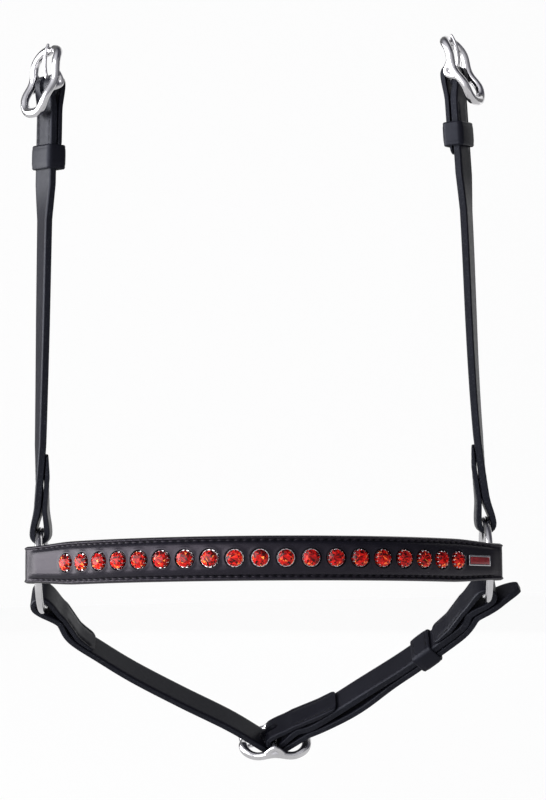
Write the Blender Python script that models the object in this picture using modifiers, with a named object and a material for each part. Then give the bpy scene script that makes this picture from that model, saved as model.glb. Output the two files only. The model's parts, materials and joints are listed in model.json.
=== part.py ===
"""Noseband of a horse's bridle, with its cheekpieces and its adjustable chin strap.

The part stands as it is worn: +X is the wearer's right as seen from in front,
+Y points back towards the poll and +Z points up. The origin lies halfway between
the centre bars of the two top buckles, which is where the headpiece holds it.
Two leather cheekpieces hang from those buckles to two metal rings. The nose band
folds round the front of the rings and the chin strap round their lower back, and
both swing about the line through the ring centres.
"""

import math

import bmesh
import bpy
from mathutils import Matrix, Vector

MM = 0.001
DEG = math.pi / 180
CLEAR = 0.3 * MM
MERGE = 0.01 * MM
SHARP_ANGLE = 35.0 * DEG
RIM_ANGLE = 55.0 * DEG

# Layout of the whole noseband
BAR_SPREAD = 101.2 * MM
CHEEK_FLARE = 10.0 * MM
RING_SPREAD = BAR_SPREAD + CHEEK_FLARE
RING_DROP = 243.0 * MM
BAND_TILT = 6.5 * DEG
BAND_LEVEL = 1.0 * DEG
CHIN_TILT = 32.0 * DEG

# Rings
RING_RADIUS = 20.0 * MM
RING_WIRE = 1.8 * MM

# Strap leather
STRAP_WIDTH = 15.0 * MM
STRAP_THICK = 3.9 * MM
FOLD_THICK = 3.0 * MM
TURN_THICK = 2.6 * MM
TIP_THICK = 1.2 * MM
STRAP_RIM = 0.5 * MM
FOLD_THROAT = 14.0 * MM
FOLD_STEPS = 5
LOOP_STEPS = 8
TIP_RUN = 11.0 * MM

# Cheekpieces
TOP_TURN = 40.0 * MM
RING_TURN = 40.0 * MM
LEFT_TWIST = 36.0 * DEG
RIGHT_TWIST = 26.0 * DEG
TWIST_START = 50.0 * MM
TWIST_END_GAP = 10.0 * MM
TWIST_RUN_SHARES = (0, 0.11, 0.43, 0.8, 1)
TWIST_SHARES = (1, 0.65, 0.58, 0.42, 0)
CHEEK_STEPS = 11
LEFT_RING_LEAN = 0.5 * DEG
RIGHT_RING_LEAN = 3.5 * DEG

# Buckles
BAR_RADIUS = 1.6 * MM
BUCKLE_HALF_LENGTH = 16.8 * MM
BUCKLE_HALF_WIDTH = 10.7 * MM
BUCKLE_WIRE = 2.15 * MM
BUCKLE_SET = 4.0 * MM
BUCKLE_WAVE = 1.8 * MM
BUCKLE_POINTS = 24
CORNER_POWER = 0.62
CREST_SHARE = 0.6
HUMP_WIRE = 1.55 * MM
HUMP_REACH = 7.0 * MM
HUMP_SHARES = (-1, -0.6, -0.25, 0, 0.25, 0.6, 1)
END_SWELL_SHARE = 1.15
NOTCH_SHARE = 0.78
LEFT_BUCKLE_TILT = 17.0 * DEG
RIGHT_BUCKLE_TILT = 22.0 * DEG

# Buckle tongues
TONGUE_WIRE = 1.1 * MM
TONGUE_TIP_SHARE = 0.7
TONGUE_ROOT_SHARES = (0.85, 0.6)
TONGUE_LINE_SHARES = ((0.62, 0.3), (0.88, 0.6), (1, 0.92))
TONGUE_DIP_SHARE = 0.98
TONGUE_EYE = 3.0 * MM
TONGUE_EYE_WIDTH = 2.8 * MM
TONGUE_BORE_GAP = 0.2 * MM
TONGUE_OVERHANG = 2.2 * MM
SLOT_WIDTH = 3.8 * MM
SLOT_DEPTH = 5.0 * MM

# Keepers
KEEPER_WALL = 1.5 * MM
KEEPER_HEIGHT = 12.0 * MM
KEEPER_DEPTH = 8.0 * MM
KEEPER_SIDE_GAP = 0.3 * MM
KEEPER_CORNER = 0.8 * MM
LEFT_KEEPER_DROP = 36.5 * MM
RIGHT_KEEPER_DROP = 30.0 * MM

# Nose band
BAND_REACH = 84.0 * MM
BAND_TIGHTENING = 8.6 * MM
FACE_HEIGHT = 20.8 * MM
FACE_END_HEIGHT = 18.0 * MM
FACE_TAPER = 34.0 * MM
FACE_THICK = 2.2 * MM
CHANNEL_RISE = 2.0 * MM
CHANNEL_FADE = 5.0 * MM
BAND_TURN = 20.0 * MM
BAND_LOOP_RADIUS = 4.0 * MM
BAND_LOOP_BACK = 1.4 * MM
BAND_LOOP_IN = 1.4 * MM
BAND_THROAT = 9.0 * MM
BAND_ARC_STEPS = 18
FACE_COLUMN_SHARES = (-1, -0.76, -0.62, 0, 0.62, 0.76, 1)
FACE_RISE_SHARES = (0, 0, 0.85, 1, 0.85, 0, 0)

# Padding and lining behind the nose band
PAD_HEIGHT = 21.2 * MM
PAD_THICK = 4.6 * MM
PAD_END_GAP = 24.0 * MM
PAD_TAPER = 26.0 * MM
LINING_HEIGHT = 22.6 * MM
LINING_THICK = 1.1 * MM
PAD_COLUMN_SHARES = (-1, -0.82, -0.45, 0, 0.45, 0.82, 1)
PAD_CROWN_SHARES = (0.2, 0.62, 0.93, 1, 0.93, 0.62, 0.2)
PAD_END_SHARES = (1, 0.6, 0.3, 0.1, 0)
PAD_END_WIDTH_SHARE = 0.8
PAD_END_THICK_SHARE = 0.25

# Crystals in their claw settings
CRYSTAL_COUNT = 19
CHANNEL_END_GAP = 9.1 * MM
CRYSTAL_SHIFT = -1.1 * MM
CRYSTAL_RADIUS = 3.6 * MM
CRYSTAL_CROWN = 1.5 * MM
CRYSTAL_GIRDLE = 0.5 * MM
CRYSTAL_TABLE_SHARE = 0.55
CRYSTAL_SIDES = 8
SETTING_WALL = 0.55 * MM
SETTING_HEIGHT = 2.2 * MM
SETTING_FLOOR = 0.7 * MM
RECESS_DEPTH = 1.7 * MM
RECESS_MARGIN = 0.35 * MM

# Name plate, left bare
PLATE_LENGTH = 15.5 * MM
PLATE_HEIGHT = 5.0 * MM
PLATE_THICK = 0.9 * MM
PLATE_RIM = 0.7 * MM
PLATE_SINK = 0.4 * MM
PLATE_PROUD = 0.15 * MM
PLATE_GAP = 2.2 * MM

# Chin strap
CHIN_DROP = 111.0 * MM
CHIN_SHIFT = 3.0 * MM
CHIN_RING_SLOPE = 47.0 * DEG
CHIN_BAR_SLOPE = 37.0 * DEG
CHIN_TURN = 38.0 * MM
CHAPE_TURN = 40.0 * MM
CHIN_LOOP_RADIUS = 2.7 * MM
LEFT_CHIN_SLIP = 2.4 * MM
RIGHT_CHIN_SLIP = 0.7 * MM
LEFT_CHIN_SHARES = ((0.895, 0.36), (0.77, 0.478), (0.625, 0.603), (0.42, 0.755), (0.2, 0.91))
RIGHT_CHIN_SHARES = ((0.895, 0.34), (0.77, 0.455), (0.625, 0.58), (0.42, 0.735), (0.2, 0.9))
BILLET_THICK = 3.5 * MM
BILLET_BULGE = 2.4 * MM
BILLET_BULGE_START = 4.0 * MM
BILLET_BULGE_END = 64.0 * MM
BILLET_PAST_RING = 0.5 * MM
BILLET_POINT = 13.0 * MM
BILLET_POINT_SHARE = 0.22
BILLET_TIP_TURN = -14.0 * DEG
BILLET_TIP_STEPS = 5
BILLET_HOLE = 1.6 * MM
BILLET_HOLE_PITCH = 24.0 * MM
BILLET_HOLES = 3
TONGUE_HOLE_LENGTH = 7.6 * MM
TONGUE_HOLE_SHARE = 0.33
CHIN_KEEPER_FROM_RING = 34.0 * MM
CHIN_KEEPER_DEPTH = 8.5 * MM
CHIN_STEP = 6.0 * MM

# Stitching
STITCH_PITCH = 3.9 * MM
THREAD_RADIUS = 0.45 * MM
THREAD_DIVE_SHARE = 0.4
STITCH_LINE_SHARE = 0.82
STITCH_LIFT = 0.25 * MM

# Cutters run past what they cut by this much
OVERRUN = 2.0 * MM

LEATHER = (0.012, 0.012, 0.014)
PAD_LEATHER = (0.01, 0.01, 0.011)
CHROME = (0.8, 0.8, 0.82)
THREAD = (0.006, 0.006, 0.007)
RED_GLASS = (0.6, 0.012, 0.008)
RED_ENAMEL = (0.35, 0.01, 0.012)


def clear_scene():
    """Removes what a new file starts with."""
    for thing in list(bpy.data.objects):
        bpy.data.objects.remove(thing, do_unlink=True)


def new_collection(name):
    collection = bpy.data.collections.new(name)
    bpy.context.scene.collection.children.link(collection)
    return collection


def finish(name, colour, roughness, metallic):
    """One sub-part's own material."""
    material = bpy.data.materials.new(name)
    material.use_nodes = True
    shader = material.node_tree.nodes["Principled BSDF"]
    shader.inputs["Base Color"].default_value = (*colour, 1)
    shader.inputs["Roughness"].default_value = roughness
    shader.inputs["Metallic"].default_value = metallic
    return material


def leather(name, colour=LEATHER):
    return finish(name, colour, 0.5, 0)


def metal(name):
    return finish(name, CHROME, 0.12, 1)


def add_part(name, mesh, material, parent=None, place=None):
    """Links a mesh as a sub-part, held by its parent empty."""
    thing = bpy.data.objects.new(name, mesh)
    mesh.materials.clear()
    mesh.materials.append(material)
    PARTS.objects.link(thing)
    thing.parent = parent
    if place is not None:
        thing.matrix_local = place
    mesh.shade_smooth()
    mesh.set_sharp_from_angle(angle=SHARP_ANGLE)
    return thing


def add_empty(name, place, parent=None):
    empty = bpy.data.objects.new(name, None)
    empty.empty_display_size = RING_RADIUS
    PARTS.objects.link(empty)
    empty.parent = parent
    empty.matrix_local = place
    return empty


def add_cutter(name, mesh, parent, place):
    thing = bpy.data.objects.new(name, mesh)
    CUTTERS.objects.link(thing)
    thing.parent = parent
    thing.matrix_local = place
    thing.hide_render = True
    thing.display_type = "WIRE"
    return thing


def cut(thing, cutter, operation="DIFFERENCE"):
    boolean = thing.modifiers.new(cutter.name, "BOOLEAN")
    boolean.operation = operation
    boolean.object = cutter
    boolean.solver = "EXACT"
    return boolean


def box_mesh(name, size):
    mesh = bpy.data.meshes.new(name)
    shape = bmesh.new()
    bmesh.ops.create_cube(shape, size=1, matrix=Matrix.Diagonal((*size, 1)))
    shape.to_mesh(mesh)
    shape.free()
    return mesh


def rod_mesh(name, radius, length, sides=16):
    """A rod along Z, centred on the origin."""
    mesh = bpy.data.meshes.new(name)
    shape = bmesh.new()
    bmesh.ops.create_cone(shape, cap_ends=True, segments=sides, radius1=radius, radius2=radius, depth=length)
    shape.to_mesh(mesh)
    shape.free()
    return mesh


def curve_mesh(name, points, radius, shares=None, closed=False, resolution=2):
    """A tube through the points, as a closed mesh."""
    curve = bpy.data.curves.new(name, "CURVE")
    curve.dimensions = "3D"
    curve.bevel_depth = radius
    curve.bevel_resolution = resolution
    curve.use_fill_caps = True
    spline = curve.splines.new("POLY")
    spline.points.add(len(points) - 1)
    for index, point in enumerate(points):
        spline.points[index].co = (*point, 1)
        spline.points[index].radius = 1 if shares is None else shares[index]
    spline.use_cyclic_u = closed
    return mesh_of_curve(name, curve)


def mesh_of_curve(name, curve):
    thing = bpy.data.objects.new(name, curve)
    bpy.context.scene.collection.objects.link(thing)
    bpy.context.view_layer.update()
    seen = thing.evaluated_get(bpy.context.evaluated_depsgraph_get())
    mesh = bpy.data.meshes.new_from_object(seen)
    bpy.data.objects.remove(thing)
    bpy.data.curves.remove(curve)
    shape = bmesh.new()
    shape.from_mesh(mesh)
    bmesh.ops.remove_doubles(shape, verts=shape.verts, dist=MERGE)
    bmesh.ops.recalc_face_normals(shape, faces=shape.faces)
    shape.to_mesh(mesh)
    shape.free()
    mesh.name = name
    return mesh


def smooth_line(points, step):
    """Catmull-Rom line through 2D points, about one step between its own points."""
    ghosts = [points[0] * 2 - points[1]] + list(points) + [points[-1] * 2 - points[-2]]
    line = [points[0].copy()]
    for index in range(1, len(ghosts) - 2):
        before, start, end, after = ghosts[index - 1:index + 3]
        count = max(1, round((end - start).length / step))
        for turn in range(1, count + 1):
            t = turn / count
            line.append(0.5 * (2 * start + (end - before) * t
                               + (2 * before - 5 * start + 4 * end - after) * t ** 2
                               + (3 * start - before - 3 * end + after) * t ** 3))
    return line


def ease(t):
    t = min(1, max(0, t))
    return (1 - math.cos(math.pi * t)) / 2


def fold(eye, away, inner, radius, turn, main_side, turn_side, throat):
    """Centre line of a strap's folded end, from its main strand round to the tip.

    eye is the middle of the loop, away the way the strap leaves it and inner the
    side that the turned-back end lies on. main_side and turn_side are how far to
    the inner side each strand lies past the throat, where the loop closes up.
    Each point is (place, run past the loop), with the main strand's runs below zero.
    """
    line = []
    for index in range(FOLD_STEPS, 0, -1):
        share = index / FOLD_STEPS
        side = -radius + (main_side + radius) * ease(share)
        line.append((eye + inner * side + away * throat * share, -throat * share))
    for index in range(LOOP_STEPS + 1):
        angle = math.pi * index / LOOP_STEPS
        spoke = -inner * math.cos(angle) - away * math.sin(angle)
        line.append((eye + spoke * radius, 0))
    for index in range(1, FOLD_STEPS + 1):
        share = index / FOLD_STEPS
        side = radius + (turn_side - radius) * ease(share)
        line.append((eye + inner * side + away * throat * share, throat * share))
    for run in (turn - TIP_RUN, turn):
        line.append((eye + inner * turn_side + away * run, run))
    return line


def strap_fold(eye, away, inner, radius, turn, main=STRAP_THICK):
    """A strap's fold as (place, thickness) points, its two strands centred on the eye."""
    line = []
    main_side = -(TURN_THICK + CLEAR) / 2
    turn_side = (main + CLEAR) / 2
    for place, run in fold(eye, away, inner, radius, turn, main_side, turn_side, FOLD_THROAT):
        past = TURN_THICK if run > 0 else main
        thick = FOLD_THICK + (past - FOLD_THICK) * ease(abs(run) / FOLD_THROAT)
        if run >= turn:
            thick = TIP_THICK
        line.append((place, thick))
    return line


def normals_of(line):
    """Unit normals of a 2D line, to the left of its way."""
    normals = []
    for index in range(len(line)):
        ahead = line[min(index + 1, len(line) - 1)] - line[max(index - 1, 0)]
        normals.append(Vector((-ahead.y, ahead.x)).normalized())
    return normals


def ribbon(name, material, line, half_widths, shares, lift, thick, most, parent,
           bend=None, grow=0, rim=STRAP_RIM):
    """A strap swept along a 2D line, with its wall made by Solidify.

    shares are the places across the width. lift(i, j) moves a point along the
    line's normal and thick(i, j) is the wall there, at most most. bend moves a point
    of the strap once it is placed, such as to twist it.
    """
    mesh = bpy.data.meshes.new(name)
    shape = bmesh.new()
    normals = normals_of(line)

    def spot(i, j, rise=0):
        flat = line[i] + normals[i] * (lift(i, j) + rise)
        point = Vector((flat.x, half_widths[i] * shares[j], flat.y))
        return bend(point) if bend else point

    row = [shape.verts.new(spot(0, j)) for j in range(len(shares))]
    edges = [shape.edges.new(pair) for pair in zip(row, row[1:])]
    weights = [thick(0, j) / most for j in range(len(shares))]
    for i in range(1, len(line)):
        made = bmesh.ops.extrude_edge_only(shape, edges=edges)
        new_verts = {vert for vert in made["geom"] if isinstance(vert, bmesh.types.BMVert)}
        new_edges = [edge for edge in made["geom"] if isinstance(edge, bmesh.types.BMEdge)
                     and edge.verts[0] in new_verts and edge.verts[1] in new_verts]
        old_place = {tuple(vert.co): j for j, vert in enumerate(row)}
        next_row = [None] * len(row)
        for vert in new_verts:
            next_row[old_place[tuple(vert.co)]] = vert
        for j, vert in enumerate(next_row):
            vert.co = spot(i, j)
            weights.append(thick(i, j) / most)
        row = next_row
        edges = new_edges
    bmesh.ops.recalc_face_normals(shape, faces=shape.faces)
    last_face = row[0].link_faces[0]
    if last_face.normal.dot(spot(len(line) - 1, 0, most) - spot(len(line) - 1, 0)) < 0:
        bmesh.ops.reverse_faces(shape, faces=shape.faces)
    shape.to_mesh(mesh)
    shape.free()
    thing = add_part(name, mesh, material, parent)
    group = thing.vertex_groups.new(name="wall")
    for index, weight in enumerate(weights):
        group.add([index], weight, "REPLACE")
    wall = thing.modifiers.new("wall", "SOLIDIFY")
    wall.thickness = most
    wall.offset = grow
    wall.use_even_offset = True
    wall.vertex_group = "wall"
    soft = thing.modifiers.new("rim", "BEVEL")
    soft.width = rim
    soft.segments = 1
    soft.limit_method = "ANGLE"
    soft.angle_limit = RIM_ANGLE
    return thing


def strap(name, track, parent, bend=None, width=None, material=None):
    """A plain strap whose wall is centred on its track of (place, thickness)."""
    line = [place for place, _ in track]
    walls = [wall for _, wall in track]
    widths = [STRAP_WIDTH / 2] * len(line) if width is None else width
    return ribbon(name, material or leather(name), line, widths, (-1, 1), lambda i, j: 0,
                  lambda i, j: walls[i], max(walls), parent, bend)


def unit(angle):
    return Vector((math.cos(angle), math.sin(angle)))


def wire_bow(half_width):
    """How far a ring's wire falls back from its tangent within a strap's width."""
    return RING_RADIUS - math.sqrt(RING_RADIUS ** 2 - half_width ** 2)


def cheek_run():
    drop = RING_DROP - RING_RADIUS
    return math.hypot(drop, RING_SPREAD - BAR_SPREAD)


def cheek_place(side):
    lean = math.atan2(RING_SPREAD - BAR_SPREAD, RING_DROP - RING_RADIUS)
    return Matrix.Translation((side * BAR_SPREAD, 0, 0)) @ Matrix.Rotation(-side * lean, 4, "Y")


def bar_fold_radius():
    return BAR_RADIUS + CLEAR + FOLD_THICK / 2


def ring_fold_radius():
    return RING_WIRE + CLEAR + FOLD_THICK / 2


def main_across():
    """How far to the outer side a cheekpiece's main strand lies."""
    return (TURN_THICK + CLEAR) / 2


def twister(side, twist):
    """Turns the strap's outer face forward, more towards the buckle."""
    free = cheek_run() - TWIST_END_GAP - TWIST_START
    drops = [TWIST_START + free * share for share in TWIST_RUN_SHARES]

    def bend(point):
        share = TWIST_SHARES[-1]
        for index in range(len(drops) - 1, 0, -1):
            ahead = (drops[index] + point.z) / (drops[index] - drops[index - 1])
            if ahead > 0:
                share = TWIST_SHARES[index] + (TWIST_SHARES[index - 1] - TWIST_SHARES[index]) * min(1, ahead)
        return Matrix.Rotation(-side * twist * share, 3, "Z") @ point
    return bend


def flexed(start, start_way, end, end_way, steps):
    """Places between two ends, along a curve that leaves and meets them their way."""
    span = (end - start).length
    places = []
    for index in range(1, steps):
        t = index / steps
        places.append(start * (2 * t ** 3 - 3 * t ** 2 + 1) + start_way * span * (t ** 3 - 2 * t ** 2 + t)
                      + end * (3 * t ** 2 - 2 * t ** 3) + end_way * span * (t ** 3 - t ** 2))
    return places


def add_cheek_strap(name, side, twist, lean, parent):
    """One cheekpiece: a fold round the buckle's bar and one round the ring."""
    down = Vector((0, -1))
    out = Vector((side, 0))
    up = Vector((-side * math.sin(lean), math.cos(lean)))
    inner = Vector((-side * math.cos(lean), -math.sin(lean)))
    ring_eye = Vector((0, -cheek_run() - wire_bow(STRAP_WIDTH / 2) - CLEAR))
    top = strap_fold(Vector((0, 0)), down, -out, bar_fold_radius(), TOP_TURN)
    low = strap_fold(ring_eye, up, inner, ring_fold_radius(), RING_TURN)
    start = out * main_across() + down * TWIST_START
    middle = [start] + flexed(start, down, low[0][0], -up, CHEEK_STEPS)
    track = top[::-1] + [(place, STRAP_THICK) for place in middle] + low
    thing = strap(name, track, parent, twister(side, twist))
    slot = box_mesh(name + "_slot", (4 * bar_fold_radius(), SLOT_WIDTH, SLOT_DEPTH + 2 * bar_fold_radius()))
    height = bar_fold_radius() - SLOT_DEPTH / 2
    turned = Matrix.Rotation(-side * twist, 4, "Z") @ Matrix.Translation((0, 0, height))
    cut(thing, add_cutter(name + "_slot", slot, parent, turned))
    return thing


def frame_wave(z):
    """How far the buckle's rails stand out at a height along the frame."""
    turn = abs(z) / (CREST_SHARE * BUCKLE_HALF_LENGTH)
    return BUCKLE_SET + BUCKLE_WAVE * (1 - math.cos(math.pi * turn)) / 2


def power(value):
    return math.copysign(abs(value) ** CORNER_POWER, value)


def frame_mesh(name, side):
    """Outer frame, humps and centre bar of a buckle. Its bar lies on local Y."""
    points = []
    shares = []
    for index in range(BUCKLE_POINTS):
        angle = 2 * math.pi * index / BUCKLE_POINTS
        y = BUCKLE_HALF_WIDTH * power(math.cos(angle))
        z = BUCKLE_HALF_LENGTH * power(math.sin(angle))
        points.append((side * frame_wave(z), y, z))
        share = 1 + (END_SWELL_SHARE - 1) * ease(2 * abs(math.sin(angle)) - 1)
        if index == BUCKLE_POINTS // 4:
            share = NOTCH_SHARE
        shares.append(share)
    mesh = curve_mesh(name, points, BUCKLE_WIRE, shares, closed=True)
    pieces = []
    for y in (-BUCKLE_HALF_WIDTH, BUCKLE_HALF_WIDTH):
        hump = []
        for share in HUMP_SHARES:
            rise = frame_wave(HUMP_REACH) * (1 - ease(1 - abs(share)))
            hump.append((side * rise, y, HUMP_REACH * share))
        pieces.append(curve_mesh(name + "_hump", hump, HUMP_WIRE, resolution=1))
    bar = rod_mesh(name + "_bar", BAR_RADIUS, 2 * BUCKLE_HALF_WIDTH, 12)
    bar.transform(Matrix.Rotation(math.pi / 2, 4, "X"))
    pieces.append(bar)
    return join_shapes(name, mesh, pieces)


def join_shapes(name, mesh, pieces, holes=()):
    """One closed mesh from overlapping ones, less the holes."""
    thing = bpy.data.objects.new(name + "_join", mesh)
    bpy.context.scene.collection.objects.link(thing)
    others = []
    for index, piece in enumerate(list(pieces) + list(holes)):
        other = bpy.data.objects.new(f"{name}_join_{index}", piece)
        bpy.context.scene.collection.objects.link(other)
        cut(thing, other, "UNION" if index < len(pieces) else "DIFFERENCE")
        others.append(other)
    bpy.context.view_layer.update()
    seen = thing.evaluated_get(bpy.context.evaluated_depsgraph_get())
    joined = bpy.data.meshes.new_from_object(seen)
    for other in [thing] + others:
        bpy.data.objects.remove(other)
    joined.name = name
    return joined


def tongue_line():
    """Places along a tongue, from its eye to where it lies in the end bar's notch."""
    rest = frame_wave(BUCKLE_HALF_LENGTH) + BUCKLE_WIRE * NOTCH_SHARE + CLEAR + TONGUE_WIRE
    reach = BUCKLE_HALF_LENGTH
    eye = (TONGUE_EYE + BAR_RADIUS) / 2
    root = (eye * TONGUE_ROOT_SHARES[0], eye * TONGUE_ROOT_SHARES[1])
    middle = [(rest * rise, reach * along) for rise, along in TONGUE_LINE_SHARES]
    return [root] + middle + [(rest * TONGUE_DIP_SHARE, reach + TONGUE_OVERHANG)]


def tongue_mesh(name, side):
    points = [(side * x, 0, z) for x, z in tongue_line()]
    shares = [1] * (len(points) - 1) + [TONGUE_TIP_SHARE]
    stem = curve_mesh(name, points, TONGUE_WIRE, shares)
    turned = Matrix.Rotation(math.pi / 2, 4, "X")
    eye = rod_mesh(name + "_eye", TONGUE_EYE, TONGUE_EYE_WIDTH, 16)
    eye.transform(turned)
    bore = rod_mesh(name + "_bore", BAR_RADIUS + TONGUE_BORE_GAP, TONGUE_EYE_WIDTH + OVERRUN, 16)
    bore.transform(turned)
    return join_shapes(name, stem, [eye], [bore])


def rounded_loop(curve, half_x, half_y, corner):
    """Adds a rounded rectangle to a 2D curve."""
    points = []
    for quarter in range(4):
        cx = (half_x - corner) * (1 if quarter in (0, 3) else -1)
        cy = (half_y - corner) * (1 if quarter in (0, 1) else -1)
        for step in range(4):
            spoke = unit((quarter + step / 3) * math.pi / 2)
            points.append((cx + corner * spoke.x, cy + corner * spoke.y))
    spline = curve.splines.new("POLY")
    spline.points.add(len(points) - 1)
    for point, (x, y) in zip(spline.points, points):
        point.co = (x, y, 0, 1)
    spline.use_cyclic_u = True


def keeper_mesh(name, depth):
    """A sewn leather loop that a strap runs through along Z."""
    curve = bpy.data.curves.new(name, "CURVE")
    curve.dimensions = "2D"
    curve.fill_mode = "BOTH"
    curve.extrude = KEEPER_HEIGHT / 2
    half_width = STRAP_WIDTH / 2 + KEEPER_SIDE_GAP
    rounded_loop(curve, depth / 2 + KEEPER_WALL, half_width + KEEPER_WALL, KEEPER_CORNER + KEEPER_WALL)
    rounded_loop(curve, depth / 2, half_width, KEEPER_CORNER)
    return mesh_of_curve(name, curve)


def stack_across(side):
    """Middle of a cheekpiece and its turned-back end, seen along the strap."""
    outer = main_across() + STRAP_THICK / 2
    inner = main_across() - STRAP_THICK / 2 - CLEAR - TURN_THICK
    return side * (outer + inner) / 2


def add_cheek(word, side, twist, lean, tilt, keeper_drop):
    """A cheekpiece with its buckle, tongue and keeper."""
    place = add_empty(word + "_cheek_line", cheek_place(side))
    add_cheek_strap(word + "_cheek_strap", side, twist, lean, place)
    turned = Matrix.Rotation(-side * twist, 4, "Z")
    lean = turned @ Matrix.Rotation(-side * tilt, 4, "Y")
    pivot = add_empty(word + "_buckle_pivot", lean, place)
    frame = word + "_buckle_frame"
    add_part(frame, frame_mesh(frame, side), metal(frame), pivot)
    tongue = word + "_buckle_tongue"
    add_part(tongue, tongue_mesh(tongue, side), metal(tongue), pivot)
    keeper = word + "_cheek_keeper"
    seat = turned @ Matrix.Translation((stack_across(side), 0, -keeper_drop))
    add_part(keeper, keeper_mesh(keeper, KEEPER_DEPTH), leather(keeper), place, seat)


def add_ring(word, side):
    name = word + "_ring"
    bpy.ops.mesh.primitive_torus_add(major_segments=32, minor_segments=8,
                                     major_radius=RING_RADIUS, minor_radius=RING_WIRE)
    thing = bpy.context.object
    mesh = thing.data
    bpy.data.objects.remove(thing)
    mesh.name = name
    mesh.transform(Matrix.Rotation(math.pi / 2, 4, "Y"))
    seat = Matrix.Translation((side * RING_SPREAD, 0, -RING_DROP))
    add_part(name, mesh, metal(name), None, seat)


def band_radius():
    """Radius of the band's arc, a little under the circle through the nose and both rings."""
    ahead = BAND_REACH - RING_RADIUS
    return (RING_SPREAD ** 2 + ahead ** 2) / (2 * ahead) - BAND_TIGHTENING


def band_turn():
    """Angle at which the band's arc runs into its straight ends."""
    drop = BAND_LOOP_IN - BAND_LOOP_RADIUS
    back = RING_RADIUS + band_radius() - BAND_REACH
    span = math.hypot(RING_SPREAD, back)
    return math.asin((band_radius() + drop) / span) - math.atan2(back, RING_SPREAD)


def band_arc():
    """Run from the band's middle to where its arc meets its straight end."""
    return band_radius() * band_turn()


def band_spot(run):
    """Place, way and outward normal on the band's base line, by run from its middle."""
    radius = band_radius()
    arc = band_arc()
    turn = band_turn()
    angle = max(-turn, min(turn, run / radius))
    centre = Vector((0, radius - BAND_REACH))
    way = unit(angle)
    out = Vector((math.sin(angle), -math.cos(angle)))
    spot = centre + out * radius
    if abs(run) > arc:
        spot = spot + way * (run - math.copysign(arc, run))
    return spot, way, out


def band_straight_end():
    """Run from the band's middle to where its fold starts."""
    turn = band_turn()
    way = unit(turn)
    out = Vector((math.sin(turn), -math.cos(turn)))
    wire = Vector((RING_SPREAD, -RING_RADIUS))
    eye = wire + way * BAND_LOOP_BACK - out * BAND_LOOP_IN
    corner = band_spot(band_arc())[0]
    return band_arc() + (eye + out * BAND_LOOP_RADIUS - corner).dot(way)


def band_fold(side):
    """The fold of the band's face round the front of a ring, on its inner side."""
    turn = band_turn()
    way = unit(turn)
    out = Vector((math.sin(turn), -math.cos(turn)))
    wire = Vector((RING_SPREAD, -RING_RADIUS))
    eye = wire + way * BAND_LOOP_BACK - out * BAND_LOOP_IN
    turn_side = CLEAR - BAND_LOOP_RADIUS
    line = fold(eye, -way, -out, BAND_LOOP_RADIUS, BAND_TURN, -BAND_LOOP_RADIUS, turn_side, BAND_THROAT)
    line = [point for point in line if point[1] >= 0]
    return [(Vector((side * place.x, place.y)), run) for place, run in line]


def add_face(parent):
    """The band's face, from one turned-back end to the other."""
    end = band_straight_end()
    fade = channel_end()
    arc = min(band_arc(), fade - CHANNEL_FADE)
    middle = [arc * (2 * index / BAND_ARC_STEPS - 1) for index in range(BAND_ARC_STEPS + 1)]
    outer = [fade, fade + CHANNEL_FADE / 2, fade + CHANNEL_FADE]
    runs = [-run for run in outer[::-1]] + middle + outer
    left = band_fold(-1)[::-1]
    right = band_fold(1)
    line = [place for place, _ in left]
    line += [band_spot(run)[0] for run in runs]
    line += [place for place, _ in right]
    rises = [0] * len(left) + [1 - ease((abs(run) - fade) / CHANNEL_FADE) for run in runs] + [0] * len(right)
    turned = [run for _, run in left] + [0] * len(runs) + [run for _, run in right]

    def wall(i, j):
        thin = FACE_THICK + CHANNEL_RISE * rises[i] * FACE_RISE_SHARES[j]
        return TIP_THICK if turned[i] >= BAND_TURN else thin

    taper = [1] * len(left) + [(abs(run) - end + FACE_TAPER) / FACE_TAPER for run in runs] + [1] * len(right)
    half = [(FACE_HEIGHT + (FACE_END_HEIGHT - FACE_HEIGHT) * ease(share)) / 2 for share in taper]
    thing = ribbon("nose_band_face", leather("nose_band_face"), flip(line), half, FACE_COLUMN_SHARES,
                   lambda i, j: 0, wall, FACE_THICK + CHANNEL_RISE, parent, upright, 1)
    for index, run in enumerate(crystal_runs()):
        recess = rod_mesh(f"recess_{index:02d}", recess_radius(), RECESS_DEPTH + OVERRUN, CRYSTAL_SIDES)
        height = crown() - RECESS_DEPTH / 2 + OVERRUN / 2
        cut(thing, add_cutter(f"recess_{index:02d}", recess, parent, on_band(run, height)))
    return thing


def flip(line):
    """Side view of the band: X across, with the view's up pointing to the front."""
    return [Vector((place.x, -place.y)) for place in line]


def upright(point):
    """Lays a strap that was swept in the X-Z plane down into the band's plane."""
    return Vector((point.x, -point.z, point.y))


def crown():
    return FACE_THICK + CHANNEL_RISE


def recess_radius():
    return CRYSTAL_RADIUS + CLEAR + SETTING_WALL + RECESS_MARGIN


def channel_end():
    """Run at which the raised channel starts to fade, short of the band's fold."""
    return band_straight_end() - CHANNEL_END_GAP


def crystal_runs():
    """Runs of the crystals, spread evenly over the channel with room for the plate."""
    middle = (CRYSTAL_COUNT - 1) / 2
    pitch = (channel_end() - recess_radius() - PLATE_GAP - PLATE_LENGTH) / middle
    return [(index - middle) * pitch + CRYSTAL_SHIFT for index in range(CRYSTAL_COUNT)]


def on_band(run, height, up=0):
    """Matrix of a place on the band, with its Z pointing out and its X along the band."""
    spot, way, out = band_spot(run)
    place = spot + out * height
    x = Vector((way.x, way.y, 0))
    z = Vector((out.x, out.y, 0))
    y = z.cross(x)
    matrix = Matrix((x, y, z)).transposed().to_4x4()
    return Matrix.Translation((place.x, place.y, up)) @ matrix


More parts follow.
